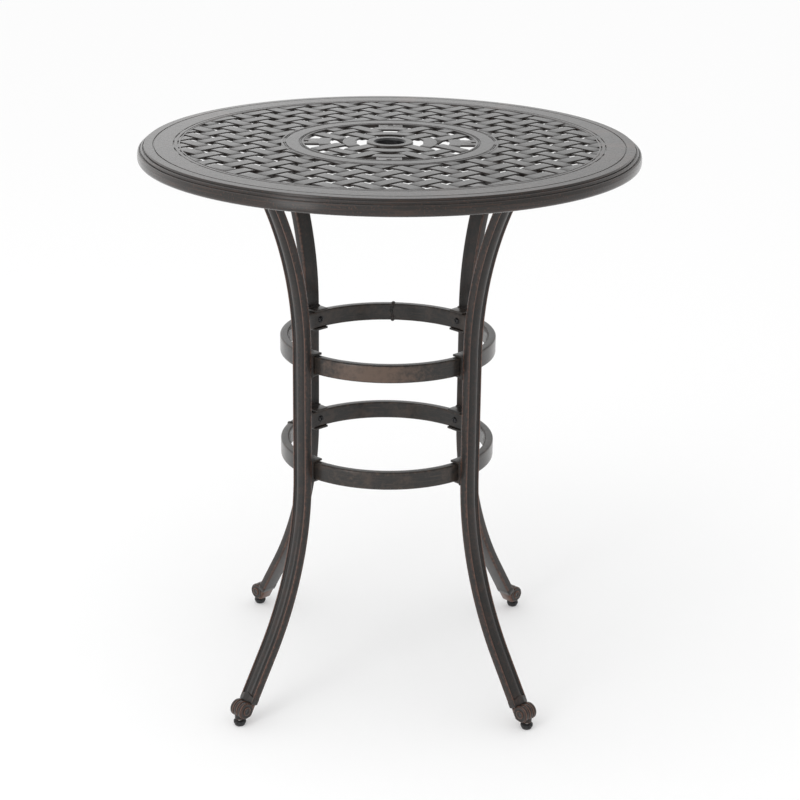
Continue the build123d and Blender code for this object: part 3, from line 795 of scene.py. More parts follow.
def new_bronze(name, edge, patch, scale, wave, gloss, peel=0.5, rougher=0.0, lacquer=0.0, specks=0.0,
               streaks=0.0, second="rub", shaded_recess=None):
    """A dark bronze coat with a second tone showing through it, and lacquer over it.

    Recess gives the two heights between which the lacquer fades: painted shade in the low parts of the
    casting.
    """
    finish = settings().finish
    material, nodes, shader = new_material(name)
    rub = nodes.out("ShaderNodeAttribute", socket="Fac", attribute_name="rub")
    coat = nodes.add("ShaderNodeGroup", {
        "Coat": finish.coat, "Rub": getattr(finish, second), "Edge": rub, "Edge Amount": edge,
        "Patch Amount": patch, "Patch Scale": scale, "Roughness": finish.coat_roughness + rougher,
        "Specks": specks, "Streaks": streaks}, node_tree=tree_named("Rubbed Coat")).outputs
    sockets = {
        "Base Color": coat["Color"], "Roughness": coat["Roughness"], "Specular IOR Level": gloss,
        "Coat Weight": lacquer, "Coat IOR": LACQUER_IOR, "Coat Roughness": LACQUER_ROUGHNESS}
    # Painted shade: less lacquer on the low parts, so they look shaded
    if shaded_recess:
        height = nodes.split(surface(nodes))["Z"]
        sockets["Coat Weight"] = ramp(nodes, height, *shaded_recess, SHADED_RECESS_LACQUER * lacquer, lacquer)
    for socket, value in sockets.items():
        nodes.feed(shader.inputs[socket], value)
    grain(nodes, shader, wave, peel, CASTING_GRAIN)
    return material


def clouded(name, tones, roughness, cloud, fade, spread, wave, peel, depth, metallic):
    """Two tones in a fine cloud of noise, which also spreads the roughness, over a fine grain."""
    if name in bpy.data.materials:
        return bpy.data.materials[name]
    material, nodes, shader = new_material(name)
    clouds = noise(nodes, surface(nodes), *cloud)
    nodes.feed(shader.inputs["Base Color"], mixed(nodes, ramp(nodes, clouds, *fade), *tones))
    uneven = nodes.math("MULTIPLY", nodes.math("SUBTRACT", clouds, 0.5), spread)
    nodes.feed(shader.inputs["Roughness"], nodes.math("ADD", uneven, roughness))
    shader.inputs["Metallic"].default_value = metallic
    grain(nodes, shader, wave, peel, depth)
    return material


def scaled(tone, factor):
    """A colour made darker or lighter."""
    return [min(1.0, part * factor) for part in tone[:3]] + [1.0]


def plain_metal(name, tone, roughness, wave=0.15, peel=0.4):
    """Bare or plated metal with a fine grain."""
    return clouded(
        name, (tone, scaled(tone, 0.7)), roughness, cloud=(160.0, 4.0), fade=(0.35, 0.75), spread=0.25,
        wave=wave, peel=peel, depth=0.08 * MM, metallic=1.0)


def zinc_plate():
    """Bright zinc plate."""
    return plain_metal("zinc_plate", settings().finish.zinc, 0.32)


def moulding(name, roughness):
    """Black moulded plastic with a fine spark-eroded grain."""
    tone = settings().finish.moulding
    return clouded(
        name, (tone, scaled(tone, 2.4)), roughness, cloud=(220.0, 3.0), fade=(0.5, 0.85), spread=0.2,
        wave=0.2, peel=0.9, depth=0.12 * MM, metallic=0.0)


# Shapes that more than one piece uses


def band_outline(width):
    """Section of a woven band: flat, with rounded edges."""
    top = settings().top
    half, thick = width / 2, top.band_thickness / 2
    return soften(rectangle(-half, half, -thick, thick, top.band_edge), steps=2, fade=2.0 * MM)


def weave_level():
    """Height of the middle of a band between its rise and its dip."""
    top = settings().top
    return TABLE_HEIGHT - top.drop - top.band_thickness / 2 - top.relief


def on_bend(start, radius, turn):
    """Radius and height on a leg's bend that starts at a height, turned up, or down if negative."""
    return settings().leg.mid_radius + radius * (1 - math.cos(turn)), start + radius * math.sin(turn)


def low_bend_end():
    """Radius and height where a leg's lower bend ends."""
    leg = settings().leg
    return on_bend(leg.low_bend, leg.low_bend_radius, -LEG_LEAN)


def leg_top_radius():
    """Radius of the leg's centre line at the underside of its flange."""
    leg = settings().leg
    turn = math.asin((FLANGE_TOP - leg.flange_thickness - leg.high_bend) / leg.high_bend_radius)
    return on_bend(leg.high_bend, leg.high_bend_radius, turn)[0]


def flange_block(name, bottom, top, edge, material):
    """A block with the outline of the bolting flange, at the top of a leg along +X."""
    leg = settings().leg
    middle, deep, wide = leg_top_radius(), leg.flange_depth / 2, leg.flange_width / 2
    corners = rectangle(middle - deep, middle + deep, -wide, wide, edge)
    return prism(name, soften(corners, fade=edge), bottom, top, edge, material)


def spot(radius, azimuth, height, side=0.0):
    """A point at a radius and azimuth, moved sideways."""
    turn = math.radians(azimuth)
    return Vector((radius * math.cos(turn) - side * math.sin(turn),
                   radius * math.sin(turn) + side * math.cos(turn), height))


def leg_places(*heights):
    """Places on the axis at these heights, turned towards each leg."""
    turns = [math.radians(azimuth) for azimuth in LEGS.values()]
    return [(Vector((0, 0, height)), turn) for height in heights for turn in turns]


# Operators


class BARTABLE_OT_weave(bpy.types.Operator):
    """Weaves the lattice between the inner ring and the rim"""

    bl_idname = "bartable.weave"
    bl_label = "Woven Lattice"

    BIAS = 0.52
    TUCK = 16 * MM
    NEAR_STEP = (-4.5 * MM, -1.5 * MM, 1.5 * MM, 4.5 * MM)

    def stops(self, reach):
        """Places along a band, close together where it steps under its neighbour and up again."""
        pitch = settings().top.pitch
        wave = 2 * pitch
        step = pitch * math.acos(-self.BIAS) / math.pi
        down = [step + near for near in self.NEAR_STEP]
        up = [wave - step + near for near in self.NEAR_STEP]
        crest = (wave + down[0] - up[-1]) / 4
        places = down + [pitch] + up + [up[-1] + crest * quarter for quarter in (1, 2, 3)]
        waves = int(reach / wave) + 1
        return [x + wave * turn for turn in range(-waves, waves) for x in places]

    def execute(self, context):
        top = settings().top
        section = section_object("band_section", band_outline(top.band_width))
        holder = mesh_object("top_weave", [(0, 0, 0)], [])
        run = path_object("band_run", [[(x, 0, 0) for x in self.stops(top.rim_inner * 1.6)]])
        weave = run_tree("top_weave", holder, "Woven Lattice", {
            "Section": section, "Run": run, "Pitch": top.pitch,
            "Bands": 2 * int(top.rim_inner / top.pitch) + 1,
            "Inner Radius": top.ring_outer - self.TUCK, "Outer Radius": top.rim_inner + self.TUCK,
            "Level": weave_level(), "Relief": top.relief, "Flatness": FLATNESS, "Bias": self.BIAS,
            "Material": bronze("top")})
        discard(section, run)
        hand_in_cast(tidy_mesh(weave), "table_top")
        return {"FINISHED"}


class BARTABLE_OT_medallion(bpy.types.Operator):
    """Weaves the middle: round bands, diagonal arms, side bands and tabs"""

    bl_idname = "bartable.medallion"
    bl_label = "Medallion"

    # Radius, width, waves and bias of the round bands
    ROUND_BANDS = ((71.75 * MM, 22.5 * MM, 4, 0.66), (115.75 * MM, 21.5 * MM, 8, 0.45))
    ROUND_STEPS = 320
    STRAIGHT_STEP = 2 * MM
    STRAIGHT_BIAS = 0.54
    SIDE_HALF_WAVE = 51 * MM
    HUB_TUCK = 6 * MM
    RING_TUCK = 8 * MM
    TAB_WIDTH = 44 * MM
    TAB_HOLE = 8 * MM
    TAB_TUCK = 3 * MM
    TAB_DROP = 0.4 * MM

    def rise(self, phase, bias=STRAIGHT_BIAS):
        """A band's height where its wave is at this phase."""
        return weave_level() + settings().top.relief * math.tanh(FLATNESS * (math.cos(phase) + bias))

    def straight(self, azimuth, side, start, end, crest, half_wave):
        """A straight band, over at its crest and under a half wave from it."""
        steps = int((end - start) / self.STRAIGHT_STEP) + 1
        run = []
        for step in range(steps + 1):
            along = start + (end - start) * step / steps
            run.append(spot(along, azimuth, self.rise(math.pi * (along - crest) / half_wave), side))
        return run

    def tab(self, start, coat):
        """A plate from the outer round band to the ring, slotted where it meets the ring."""
        top = settings().top
        half, hole, edge = self.TAB_WIDTH / 2, self.TAB_HOLE / 2, top.band_edge
        start -= self.TAB_TUCK
        end = top.ring_inner + self.TAB_TUCK
        slot = top.ring_inner - self.TAB_HOLE
        corners = [(start, -half), (end, -half), (end, -hole), (slot, -hole),
                   (slot, hole), (end, hole), (end, half), (start, half)]
        high = self.rise(0) + top.band_thickness / 2 - self.TAB_DROP
        return prism("tab", soften([(x, y, edge) for x, y in corners]), high - top.band_thickness, high,
                     edge, coat)

    def execute(self, context):
        top = settings().top
        coat = bronze("top")
        (first, first_width, *_), (second, second_width, *_) = self.ROUND_BANDS
        pieces = []
        for radius, width, waves, bias in self.ROUND_BANDS:
            turns = [360 * step / self.ROUND_STEPS for step in range(self.ROUND_STEPS + 1)]
            run = [spot(radius, turn, self.rise(waves * math.radians(turn), bias)) for turn in turns]
            pieces.append(swept("round_band", [run], band_outline(width), True, coat))
        under_ring = top.ring_inner + self.RING_TUCK
        side_crest, side_start, side_end = (
            math.sqrt(radius ** 2 - top.pitch ** 2) for radius in (second, first, under_ring))
        side_start -= first_width / 4
        runs = []
        for azimuth in LEGS.values():
            runs.append(self.straight(azimuth, 0.0, top.hub - self.HUB_TUCK, under_ring, first, top.pitch))
            for side in (-top.pitch, top.pitch):
                runs.append(self.straight(azimuth, side, side_start, side_end, side_crest,
                                          self.SIDE_HALF_WAVE))
        pieces.append(swept("straight_bands", runs, band_outline(top.band_width), True, coat))
        places = [(Vector(), math.radians(90 * quarter)) for quarter in range(4)]
        pieces.append(placed("tabs", self.tab(second + second_width / 2, coat), places, coat))
        hand_in_cast(joined("top_medallion", *pieces), "table_top")
        return {"FINISHED"}


class BARTABLE_OT_rim(bpy.types.Operator):
    """Turns the rim, the flat inner ring and the hub of the top"""

    bl_idname = "bartable.rim"
    bl_label = "Rim, Ring and Hub"

    GROOVES = (371 * MM, 378.5 * MM)
    WALL = 7 * MM
    RING_MARGIN = 4.5 * MM
    SEAT_DEPTH = 2 * MM
    COLLAR_DEPTH = 12 * MM

    def grooved(self, corners, radii, width, depth):
        """Adds fine grooves to a flat top after its last corner."""
        height = corners[-1][1]
        for radius in radii:
            for across, down, edge in ((-0.5, 0, 0.3), (-0.25, 1, 0.2), (0.25, 1, 0.2), (0.5, 0, 0.3)):
                corners.append((radius + width * across, height - depth * down, edge * MM))

    def rim(self):
        """The stepped rim with its skirt."""
        top = settings().top
        inner, low = top.rim_inner, TABLE_HEIGHT - top.skirt_depth
        corners = [(inner, TABLE_HEIGHT - self.WALL, 0.5 * MM), (inner, TABLE_HEIGHT, 1.0 * MM)]
        self.grooved(corners, (*self.GROOVES, top.plateau), 2.4 * MM, 1.9 * MM)
        for radius, out, down, edge in (
                (top.ledge, 0, 0.3, 1.2), (top.ledge, 0.8, 6.0, 0.3), (top.ledge, 2.0, 5.6, 0.3),
                (top.lip, -3.2, 3.6, 1.0), (top.lip, -0.4, 5.0, 1.4), (top.lip, 0.2, 10.4, 0.3),
                (top.lip, 1.4, 10.0, 0.3), (top.lip, 2.4, 8.4, 1.0), (top.lip, 4.6, 9.6, 1.5),
                (TOP_RADIUS, 0, 15.5, 4.0)):
            corners.append((radius + out * MM, TABLE_HEIGHT - down * MM, edge * MM))
        corners += [(TOP_RADIUS, low, 10.0 * MM), (TOP_RADIUS - 14.0 * MM, low, 1.5 * MM),
                    (TOP_RADIUS - 15.0 * MM, TABLE_HEIGHT - self.WALL, 3.0 * MM)]
        return lathe("top_rim", soften(corners, steps=5), 288, bronze("rim"))

    def ring(self):
        """The flat inner ring with its four grooves."""
        top = settings().top
        inner, outer, margin = top.ring_inner, top.ring_outer, self.RING_MARGIN
        low = weave_level() - top.relief - top.band_thickness / 2
        corners = [(inner, low, 0.8 * MM), (inner, TABLE_HEIGHT, 1.0 * MM)]
        grooves = (inner + margin, inner + 1.7 * margin, outer - 1.7 * margin, outer - margin)
        self.grooved(corners, grooves, 2.2 * MM, 1.7 * MM)
        corners += [(outer, TABLE_HEIGHT, 1.0 * MM), (outer, low, 0.8 * MM)]
        return lathe("top_inner_ring", soften(corners, steps=3), 192, bronze("top"))

    def hub(self):
        """The hub, bored and seated for the sleeve."""
        top = settings().top
        bore, seat = top.pole_hole + 2.05 * MM, top.pole_hole + 3 * MM
        seat_low, bottom = TABLE_HEIGHT - self.SEAT_DEPTH, TABLE_HEIGHT - top.hub_depth
        collar = TABLE_HEIGHT - self.COLLAR_DEPTH
        corners = [(seat, seat_low, 0.2 * MM), (seat, TABLE_HEIGHT, 0.4 * MM),
                   (top.hub, TABLE_HEIGHT, 2.0 * MM), (top.hub, collar, 1.0 * MM),
                   (top.hub_neck, collar - 2 * MM, 2.0 * MM), (top.hub_neck, bottom, 1.5 * MM),
                   (bore, bottom, 0.5 * MM), (bore, seat_low, 0.2 * MM)]
        return lathe("top_hub", soften(corners), 96, bronze("top"))

    def execute(self, context):
        for piece in (self.rim(), self.ring(), self.hub()):
            hand_in_cast(piece, "table_top")
        return {"FINISHED"}


class BARTABLE_OT_bosses(bpy.types.Operator):
    """Sets the four bosses under the top that the legs bolt to"""

    bl_idname = "bartable.bosses"
    bl_label = "Leg Bosses"

    DEPTH_LEFT = 4 * MM

    def execute(self, context):
        coat = bronze("top")
        boss = flange_block("boss", FLANGE_TOP, TABLE_HEIGHT - self.DEPTH_LEFT, 2.0 * MM, coat)
        hand_in_cast(placed("top_bosses", boss, leg_places(0), coat), "table_top")
        return {"FINISHED"}


class BARTABLE_OT_sleeve(bpy.types.Operator):
    """Turns the liner of the umbrella hole"""

    bl_idname = "bartable.sleeve"
    bl_label = "Umbrella Sleeve"

    WALL = 2 * MM
    LIP = 2.9 * MM

    def execute(self, context):
        inner = settings().top.pole_hole
        outer, lip = inner + self.WALL, inner + self.LIP
        low, high = SLEEVE_LOW.z, SLEEVE_HIGH.z
        under_lip = high - 2 * MM
        corners = [(inner, low, 0.6 * MM), (inner, high - 3 * MM, 1.5 * MM), (lip - 0.6 * MM, high, 0.6 * MM),
                   (lip, high, 0.2 * MM), (lip, under_lip, 0.3 * MM), (outer, under_lip, 0.2 * MM),
                   (outer, low, 0.6 * MM)]
        sleeve = lathe("umbrella_liner", soften(corners, steps=3), 96, moulding("black_liner", 0.35))
        hand_in(sleeve, BODY, "sleeve_plastic", "umbrella_sleeve")
        return {"FINISHED"}


class BARTABLE_OT_legs(bpy.types.Operator):
    """Sweeps the four fluted legs and adds their bolting flanges"""

    bl_idname = "bartable.legs"
    bl_label = "Fluted Legs"

    BEAD = 3.5 * MM
    BEAD_RISE = 1.5 * MM
    FLUTE = 5.0 * MM
    FLUTE_DEPTH = 1.8 * MM
    CORNER = 3.0 * MM
    CREST_RUB = 0.3
    STRAIGHT_STEPS = 7
    BEND_STEPS = 30
    OVERRUN = 0.012

    def arc(self, start, middle, end, steps):
        """Points of the circle through three points, the second of them halfway, without the first."""
        start, middle, end = Vector(start), Vector(middle), Vector(end)
        rise = middle - (start + end) / 2
        radius = ((end - start).length_squared / 4 + rise.length_squared) / (2 * rise.length)
        centre = middle - rise.normalized() * radius
        swing = 2 * (start - centre).angle_signed(middle - centre)
        return arc_points(centre, start - centre, swing, steps)[1:]

    def section(self):
        """The leg's section: flat back, edge beads, two flutes and a broad rib, with rub on the crests."""
        leg = settings().leg
        half, shoulder, corner = leg.width / 2, leg.shoulder, self.CORNER
        bead_in = half - self.BEAD
        rib_edge = bead_in - self.FLUTE
        bend = corner * (1 - math.sqrt(0.5))
        corner_arc = self.arc((half - corner, -leg.back), (half - bend, bend - leg.back),
                              (half, corner - leg.back), 5)
        bead = self.arc((half, shoulder), (half - self.BEAD / 2, shoulder + self.BEAD_RISE),
                        (bead_in, shoulder), 8)
        flute = self.arc((bead_in, shoulder), (bead_in - self.FLUTE / 2, shoulder - self.FLUTE_DEPTH),
                         (rib_edge, shoulder), 6)
        rib = self.arc((rib_edge, shoulder), (0.0, leg.rib), (-rib_edge, shoulder), 18)[:-1]
        side = [(0.0, -leg.back, 0.0), (half - corner, -leg.back, 0.2)]
        side += [(x, y, 0.7) for x, y in corner_arc]
        side += [(half, -2 * MM, 0.0), (half, shoulder, 0.5)]
        side += [(x, y, max(0.0, (y - shoulder) / self.BEAD_RISE)) for x, y in bead]
        side += [(x, y, 0.0) for x, y in flute]
        rib_rise = leg.rib - shoulder
        crest = [(x, y, max(0.0, (y - shoulder) / rib_rise) ** 2 * self.CREST_RUB) for x, y in rib]
        mirrored = [(-x, y, rub) for x, y, rub in reversed(side[1:])]
        return [(x, -y, rub) for x, y, rub in side + crest + mirrored]

    def path(self, azimuth):
        """The leg's centre line from its foot to its flange."""
        leg = settings().leg
        low_radius, low_height = low_bend_end()
        straight, bend = self.STRAIGHT_STEPS, self.BEND_STEPS
        high_turn = math.asin((FLANGE_TOP - leg.high_bend) / leg.high_bend_radius) + self.OVERRUN
        run = []
        for step in range(straight):
            below = (low_height - leg.end_height) * (1 - step / straight)
            run.append((low_radius + below * math.tan(LEG_LEAN), low_height - below))
        for step in range(bend + 1):
            run.append(on_bend(leg.low_bend, leg.low_bend_radius, LEG_LEAN * (step / bend - 1)))
        between = leg.high_bend - leg.low_bend
        for step in range(1, straight + 1):
            run.append((leg.mid_radius, leg.low_bend + between * step / (straight + 1)))
        for step in range(bend + 1):
            run.append(on_bend(leg.high_bend, leg.high_bend_radius, high_turn * step / bend))
        return [spot(radius, azimuth, height) for radius, height in run]

    def trim(self, piece, height):
        """Cuts a leg level inside its flange and closes the cut."""
        with opened(piece) as mesh:
            everything = mesh.verts[:] + mesh.edges[:] + mesh.faces[:]
            bmesh.ops.bisect_plane(mesh, geom=everything, plane_co=(0, 0, height), plane_no=(0, 0, 1),
                                   clear_outer=True)
            bmesh.ops.holes_fill(mesh, edges=[edge for edge in mesh.edges if edge.is_boundary])
            bmesh.ops.recalc_face_normals(mesh, faces=mesh.faces)

    def execute(self, context):
        thick = settings().leg.flange_thickness
        coat = bronze("legs")
        for name, azimuth in LEGS.items():
            bar = swept(f"fluted_leg_{name}", [self.path(azimuth)], self.section(), False, coat)
            self.trim(bar, FLANGE_TOP - thick / 2)
            flange = flange_block(f"leg_flange_{name}", FLANGE_TOP - thick, FLANGE_TOP, 1.5 * MM, coat)
            for piece in (bar, turned(flange, azimuth)):
                hand_in_cast(piece, f"leg_{name}")
        return {"FINISHED"}


class BARTABLE_OT_feet(bpy.types.Operator):
    """Shapes the four scroll feet"""

    bl_idname = "bartable.feet"
    bl_label = "Scroll Feet"

    ROLL_BACK = 4.5 * MM
    TOES = 3
    TOE_DEPTH = 2 * MM
    EYE = 8 * MM
    EYE_RISE = 1.2 * MM
    CORE = 0.5 * MM
    BORE = 5.1 * MM
    BOSS = 9 * MM
    BOSS_LIFT = 4 * MM
    HEEL_RUN = 27 * MM
    HEEL_BEND = 11 * MM
    BROW = 6 * MM
    NECK_HALF = 13.8 * MM
    PEAK = 6 * MM
    PEAK_HALF = 10 * MM

    def execute(self, context):
        coat = bronze("legs")
        for name, azimuth in LEGS.items():
            foot = turned(self.foot(f"scroll_foot_{name}", coat), azimuth)
            hand_in_cast(foot, f"leg_{name}")
        return {"FINISHED"}

    def foot(self, name, coat):
        """One foot along +X: a cuff on the leg's end, and a neck into a roll with an eye each side."""
        leg = settings().leg
        roll_at = Vector((FOOT_RADIUS - self.ROLL_BACK, 0, leg.roll_height))
        bend_radius, bend_height = low_bend_end()
        end = Vector((bend_radius, 0, bend_height))
        end += Vector((math.tan(LEG_LEAN), 0, -1)) * (end.z - leg.end_height)
        up = Vector((-math.sin(LEG_LEAN), 0, math.cos(LEG_LEAN)))
        front = Vector((up.z, 0, -up.x))
        pieces = [self.roll(coat), self.eye(coat)]
        for piece in pieces:
            moved(piece, Matrix.Translation(roll_at) @ Matrix.Rotation(math.pi / 2, 4, "X"))
        pieces += [self.boss(coat), self.neck(roll_at, end, up, front, coat), self.cuff(end, up, front, coat)]
        return joined(name, *pieces)

    def roll(self, coat):
        """The roll, with a groove each side of every toe."""
        leg = settings().leg
        half, high, toe = leg.roll_width / 2, leg.roll_radius, leg.roll_width / self.TOES
        low = high - self.TOE_DEPTH
        corners = [(self.CORE, -half, 0)]
        for start in (toe * number - half for number in range(self.TOES)):
            corners += [(low, start, 0.4 * MM), (high, start + 0.2 * toe, 2 * MM),
                        (high, start + 0.8 * toe, 2 * MM)]
        corners += [(low, half, 0.4 * MM), (self.CORE, half, 0)]
        return lathe("roll", soften(corners, fade=0.5 * MM), 64, coat)

    def eye(self, coat):
        """A disc that shows at both sides of the roll."""
        half = settings().leg.roll_width / 2 + self.EYE_RISE
        corners = rectangle(self.CORE, self.EYE, -half, half, 0, 1 * MM, 1 * MM, 0)
        return lathe("eye", soften(corners, steps=3), 48, coat)

    def boss(self, coat):
        """The boss under the roll that the levelling stud screws into."""
        low, high = PAD_HEIGHT + self.BOSS_LIFT, settings().leg.roll_height
        corners = rectangle(self.BORE, self.BOSS, low, high, 0.3 * MM, 1 * MM, 0, 0)
        return moved(lathe("boss", soften(corners), 48, coat), Matrix.Translation((FOOT_RADIUS, 0, 0)))

    def neck(self, roll_at, end, up, front, coat):
        """The body of the foot, from the leg's end down to the roll."""
        leg = settings().leg
        heel, brow = end - front * leg.back, end + front * self.BROW
        under = roll_at + Vector((-2 * MM, 0, 0.4 * MM - leg.roll_radius))
        corners = ((heel + up * 4 * MM, 0.5 * MM), (heel - up * self.HEEL_RUN, self.HEEL_BEND),
                   (under, 2 * MM), (roll_at, 0.5 * MM), (brow, 3 * MM), (brow + up * 4 * MM, 0.5 * MM))
        outline = soften([(point.x, point.z, bend) for point, bend in corners])
        neck = prism("neck", outline, -self.NECK_HALF, self.NECK_HALF, 3.5 * MM, coat)
        return moved(neck, Matrix.Rotation(math.pi / 2, 4, "X"))

    def cuff(self, end, up, front, coat):
        """A collar round the leg's end, its upper edge drawn up to a point on the rib."""
        leg = settings().leg
        half, back, rib = leg.width / 2 + 0.4 * MM, -leg.back - 0.1 * MM, leg.rib + 1.6 * MM
        crest, side = 6 * MM, 5.5 * MM
        outline = soften([(-half, back, 3 * MM), (half, back, 3 * MM), (half, side, 3 * MM),
                          (crest, rib, 4 * MM), (-crest, rib, 4 * MM), (-half, side, 3 * MM)], fade=1 * MM)
        rings, rub = [], []
        for size, along, peak in ((0.88, -4, 0), (1.0, -2, 0), (1.0, 8, 1), (0.97, 9.6, 1), (0.86, 9.6, 1)):
            ring = []
            for x, y, corner in outline:
                lift = peak * self.PEAK * max(0.0, 1 - abs(x) / self.PEAK_HALF) if y > 0 else 0.0
                point = end + up * (along * MM + lift)
                ring.append(point + Vector((0, x * size, 0)) + front * (y * size))
                rub.append(max(corner * 0.3, peak * 0.35))
            rings.append(ring)
        return skin("cuff", rings, coat, rub)


class BARTABLE_OT_hoops(bpy.types.Operator):
    """Rolls the two hoops and their seam welds"""

    bl_idname = "bartable.hoops"
    bl_label = "Hoops"

    # Azimuths of the seams and of the paler patches on the hoops' fronts, and how far those are rubbed
    # through; the patches are part wear and part painted highlight
    SEAMS = {"upper": 88.0, "lower": 162.0}
    SCUFF_AND_HIGHLIGHT_AT = {"upper": 262.0, "lower": 250.0}
    SCUFF_AND_HIGHLIGHT = {"upper": 1.2, "lower": 0.4}
    SCUFF_AND_HIGHLIGHT_WIDTH = 30.0
    EDGE_WEAR = 0.5
    SEAM_RADIUS = 4.0 * MM
    SEAM_WANDER = 2.2 * MM
    SEAM_INSET = 1.6 * MM
    SEAM_STEPS = 5

    def paint_scuff_and_highlight(self, ring, azimuth, scuff_and_highlight):
        """Rubs the coat through on the outer face round one azimuth, a patch that is part wear and part
        painted highlight, and half as much along the edges.
        """
        rub = ring.data.attributes["rub"].data
        for point in ring.data.vertices:
            turn = math.degrees(math.atan2(point.co.y, point.co.x)) - azimuth
            away = (turn + 180) % 360 - 180
            value = rub[point.index].value * self.EDGE_WEAR
            if point.co.xy.length > HOOP_RADIUS - 0.1 * MM:
                value = max(value, scuff_and_highlight * math.exp(-(away / self.SCUFF_AND_HIGHLIGHT_WIDTH) ** 2))
            rub[point.index].value = value

    def seam(self, name, azimuth, corners):
        """A lumpy weld all round the bar at one azimuth."""
        dice = random.Random(settings().seed)
        run = []
        for (r, z, _), (next_r, next_z, _) in zip(corners, corners[1:] + corners[:1]):
            for part in (step / self.SEAM_STEPS for step in range(self.SEAM_STEPS)):
                wander = dice.uniform(-self.SEAM_WANDER, self.SEAM_WANDER)
                run.append(spot(r + (next_r - r) * part, azimuth, z + (next_z - z) * part, wander))
        return welded(name, [run + run[:1]], self.SEAM_RADIUS)

    def execute(self, context):
        hoop = settings().hoop
        inner, outer, inset = HOOP_RADIUS - hoop.thickness, HOOP_RADIUS, self.SEAM_INSET
        for name in HOOPS:
            low, high = (corner.z for corner in HOOP_BOX[name])
            corners = rectangle(inner, outer, low, high, hoop.edge)
            ring = lathe(f"{name}_rolled_hoop", soften(corners, fade=4 * MM), 224, bronze("hoops"))
            # Painted highlight mixed with wear: the paler patch on each hoop's front
            self.paint_scuff_and_highlight(ring, self.SCUFF_AND_HIGHLIGHT_AT[name], self.SCUFF_AND_HIGHLIGHT[name])
            edges = rectangle(inner + inset, outer - inset, low + inset, high - inset, 0)
            for piece in (ring, self.seam(f"{name}_hoop_seam", self.SEAMS[name], edges)):
                hand_in_cast(piece, f"{name}_hoop")
        return {"FINISHED"}


class BARTABLE_OT_brackets(bpy.types.Operator):
    """Sets a channel bracket at each leg and hoop, with its weld and bolt"""

    bl_idname = "bartable.brackets"
    bl_label = "Brackets and Bolts"

    EDGE = 0.8 * MM
    WELD_SINK = 0.4 * MM
    KEY = 2.5 * MM
    KEY_DEPTH = 2.4 * MM
    KEY_RIM = 3.0 * MM
    SHANK = 3.0 * MM
    SHANK_LENGTH = 30 * MM
    DOME_STEPS = 8

    def execute(self, context):
        hoop = settings().hoop
        coat = bronze("hoops")
        levels = [HOOP_BOX[name][0].z for name in HOOPS]
        nodes = [f"{name}_bracket_{leg}" for name in HOOPS for leg in LEGS]
        half, back = hoop.bracket_width / 2, HOOP_RADIUS + hoop.gap + hoop.web
        low, high = -hoop.flange, HOOP_HEIGHT + hoop.gap + hoop.flange
        bracket = self.channel(half, back, low, high, coat)
        hand_in_cast(placed("hoop_brackets", bracket, leg_places(*levels), coat), *nodes)
        corners = rectangle(-half, half, low, high, 0)
        runs = [[spot(back - self.WELD_SINK, azimuth, level + z, y) for y, z, _ in corners + corners[:1]]
                for level in levels for azimuth in LEGS.values()]
        hand_in_cast(welded("bracket_welds", runs, hoop.bead), *nodes)
        black = plain_metal("black_oxide", settings().finish.oxide, 0.24, wave=0.1, peel=0.2)
        bolts = placed("hoop_button_bolts", self.bolt(black), leg_places(*levels), black)
        hand_in(bolts, BODY, "dark_steel", "hoop_bolts")
        return {"FINISHED"}

    def channel(self, half, back, low, high, coat):
        """A channel open to the axis, with eased edges."""
        hoop = settings().hoop
        reach, web = HOOP_RADIUS - hoop.thickness - hoop.reach, HOOP_RADIUS + hoop.gap
        inside = high - hoop.flange
        outline = [(reach, low), (back, low), (back, high), (reach, high),
                   (reach, inside), (web, inside), (web, 0), (reach, 0)]
        made = skin("bracket", [[(x, y, z) for x, z in outline] for y in (-half, half)], coat)
        with opened(made) as mesh:
            bmesh.ops.bevel(mesh, geom=mesh.edges[:], offset=self.EDGE, segments=3, profile=0.5,
                            affect="EDGES")
        made.data.shade_smooth()
        return made

    def bolt(self, black):
        """A round-headed bolt with a hexagon socket, from inside a hoop."""
        hoop = settings().hoop
        seat = math.sqrt((HOOP_RADIUS - hoop.thickness) ** 2 - hoop.bolt_head ** 2)
        dome = (hoop.bolt_head ** 2 + hoop.bolt_dome ** 2) / (2 * hoop.bolt_dome)
        middle = dome - hoop.bolt_dome
        key_floor = self.KEY_DEPTH - hoop.bolt_dome
        rim_turn, last_turn = math.asin(self.KEY_RIM / dome), math.asin(hoop.bolt_head / dome)
        rows = [(AXIS, key_floor, 0.0), (self.KEY, key_floor, 0.0),
                (self.KEY, middle - dome * math.cos(rim_turn), 0.4)]
        for step in range(self.DOME_STEPS + 1):
            turn = rim_turn + (last_turn - rim_turn) * step / self.DOME_STEPS
            rows.append((dome * math.sin(turn), middle - dome * math.cos(turn), 0.6 if step > 5 else 0.2))
        rows += [(self.SHANK, 0.0, 0.0), (self.SHANK, self.SHANK_LENGTH, 0.0), (AXIS, self.SHANK_LENGTH, 0.0)]
        return moved(lathe("bolt", rows, 48, black, hexagonal(0, 1, 2)),
                     Matrix.Translation((seat, 0, HOOP_HEIGHT / 2)) @ Matrix.Rotation(math.pi / 2, 4, "Y"))


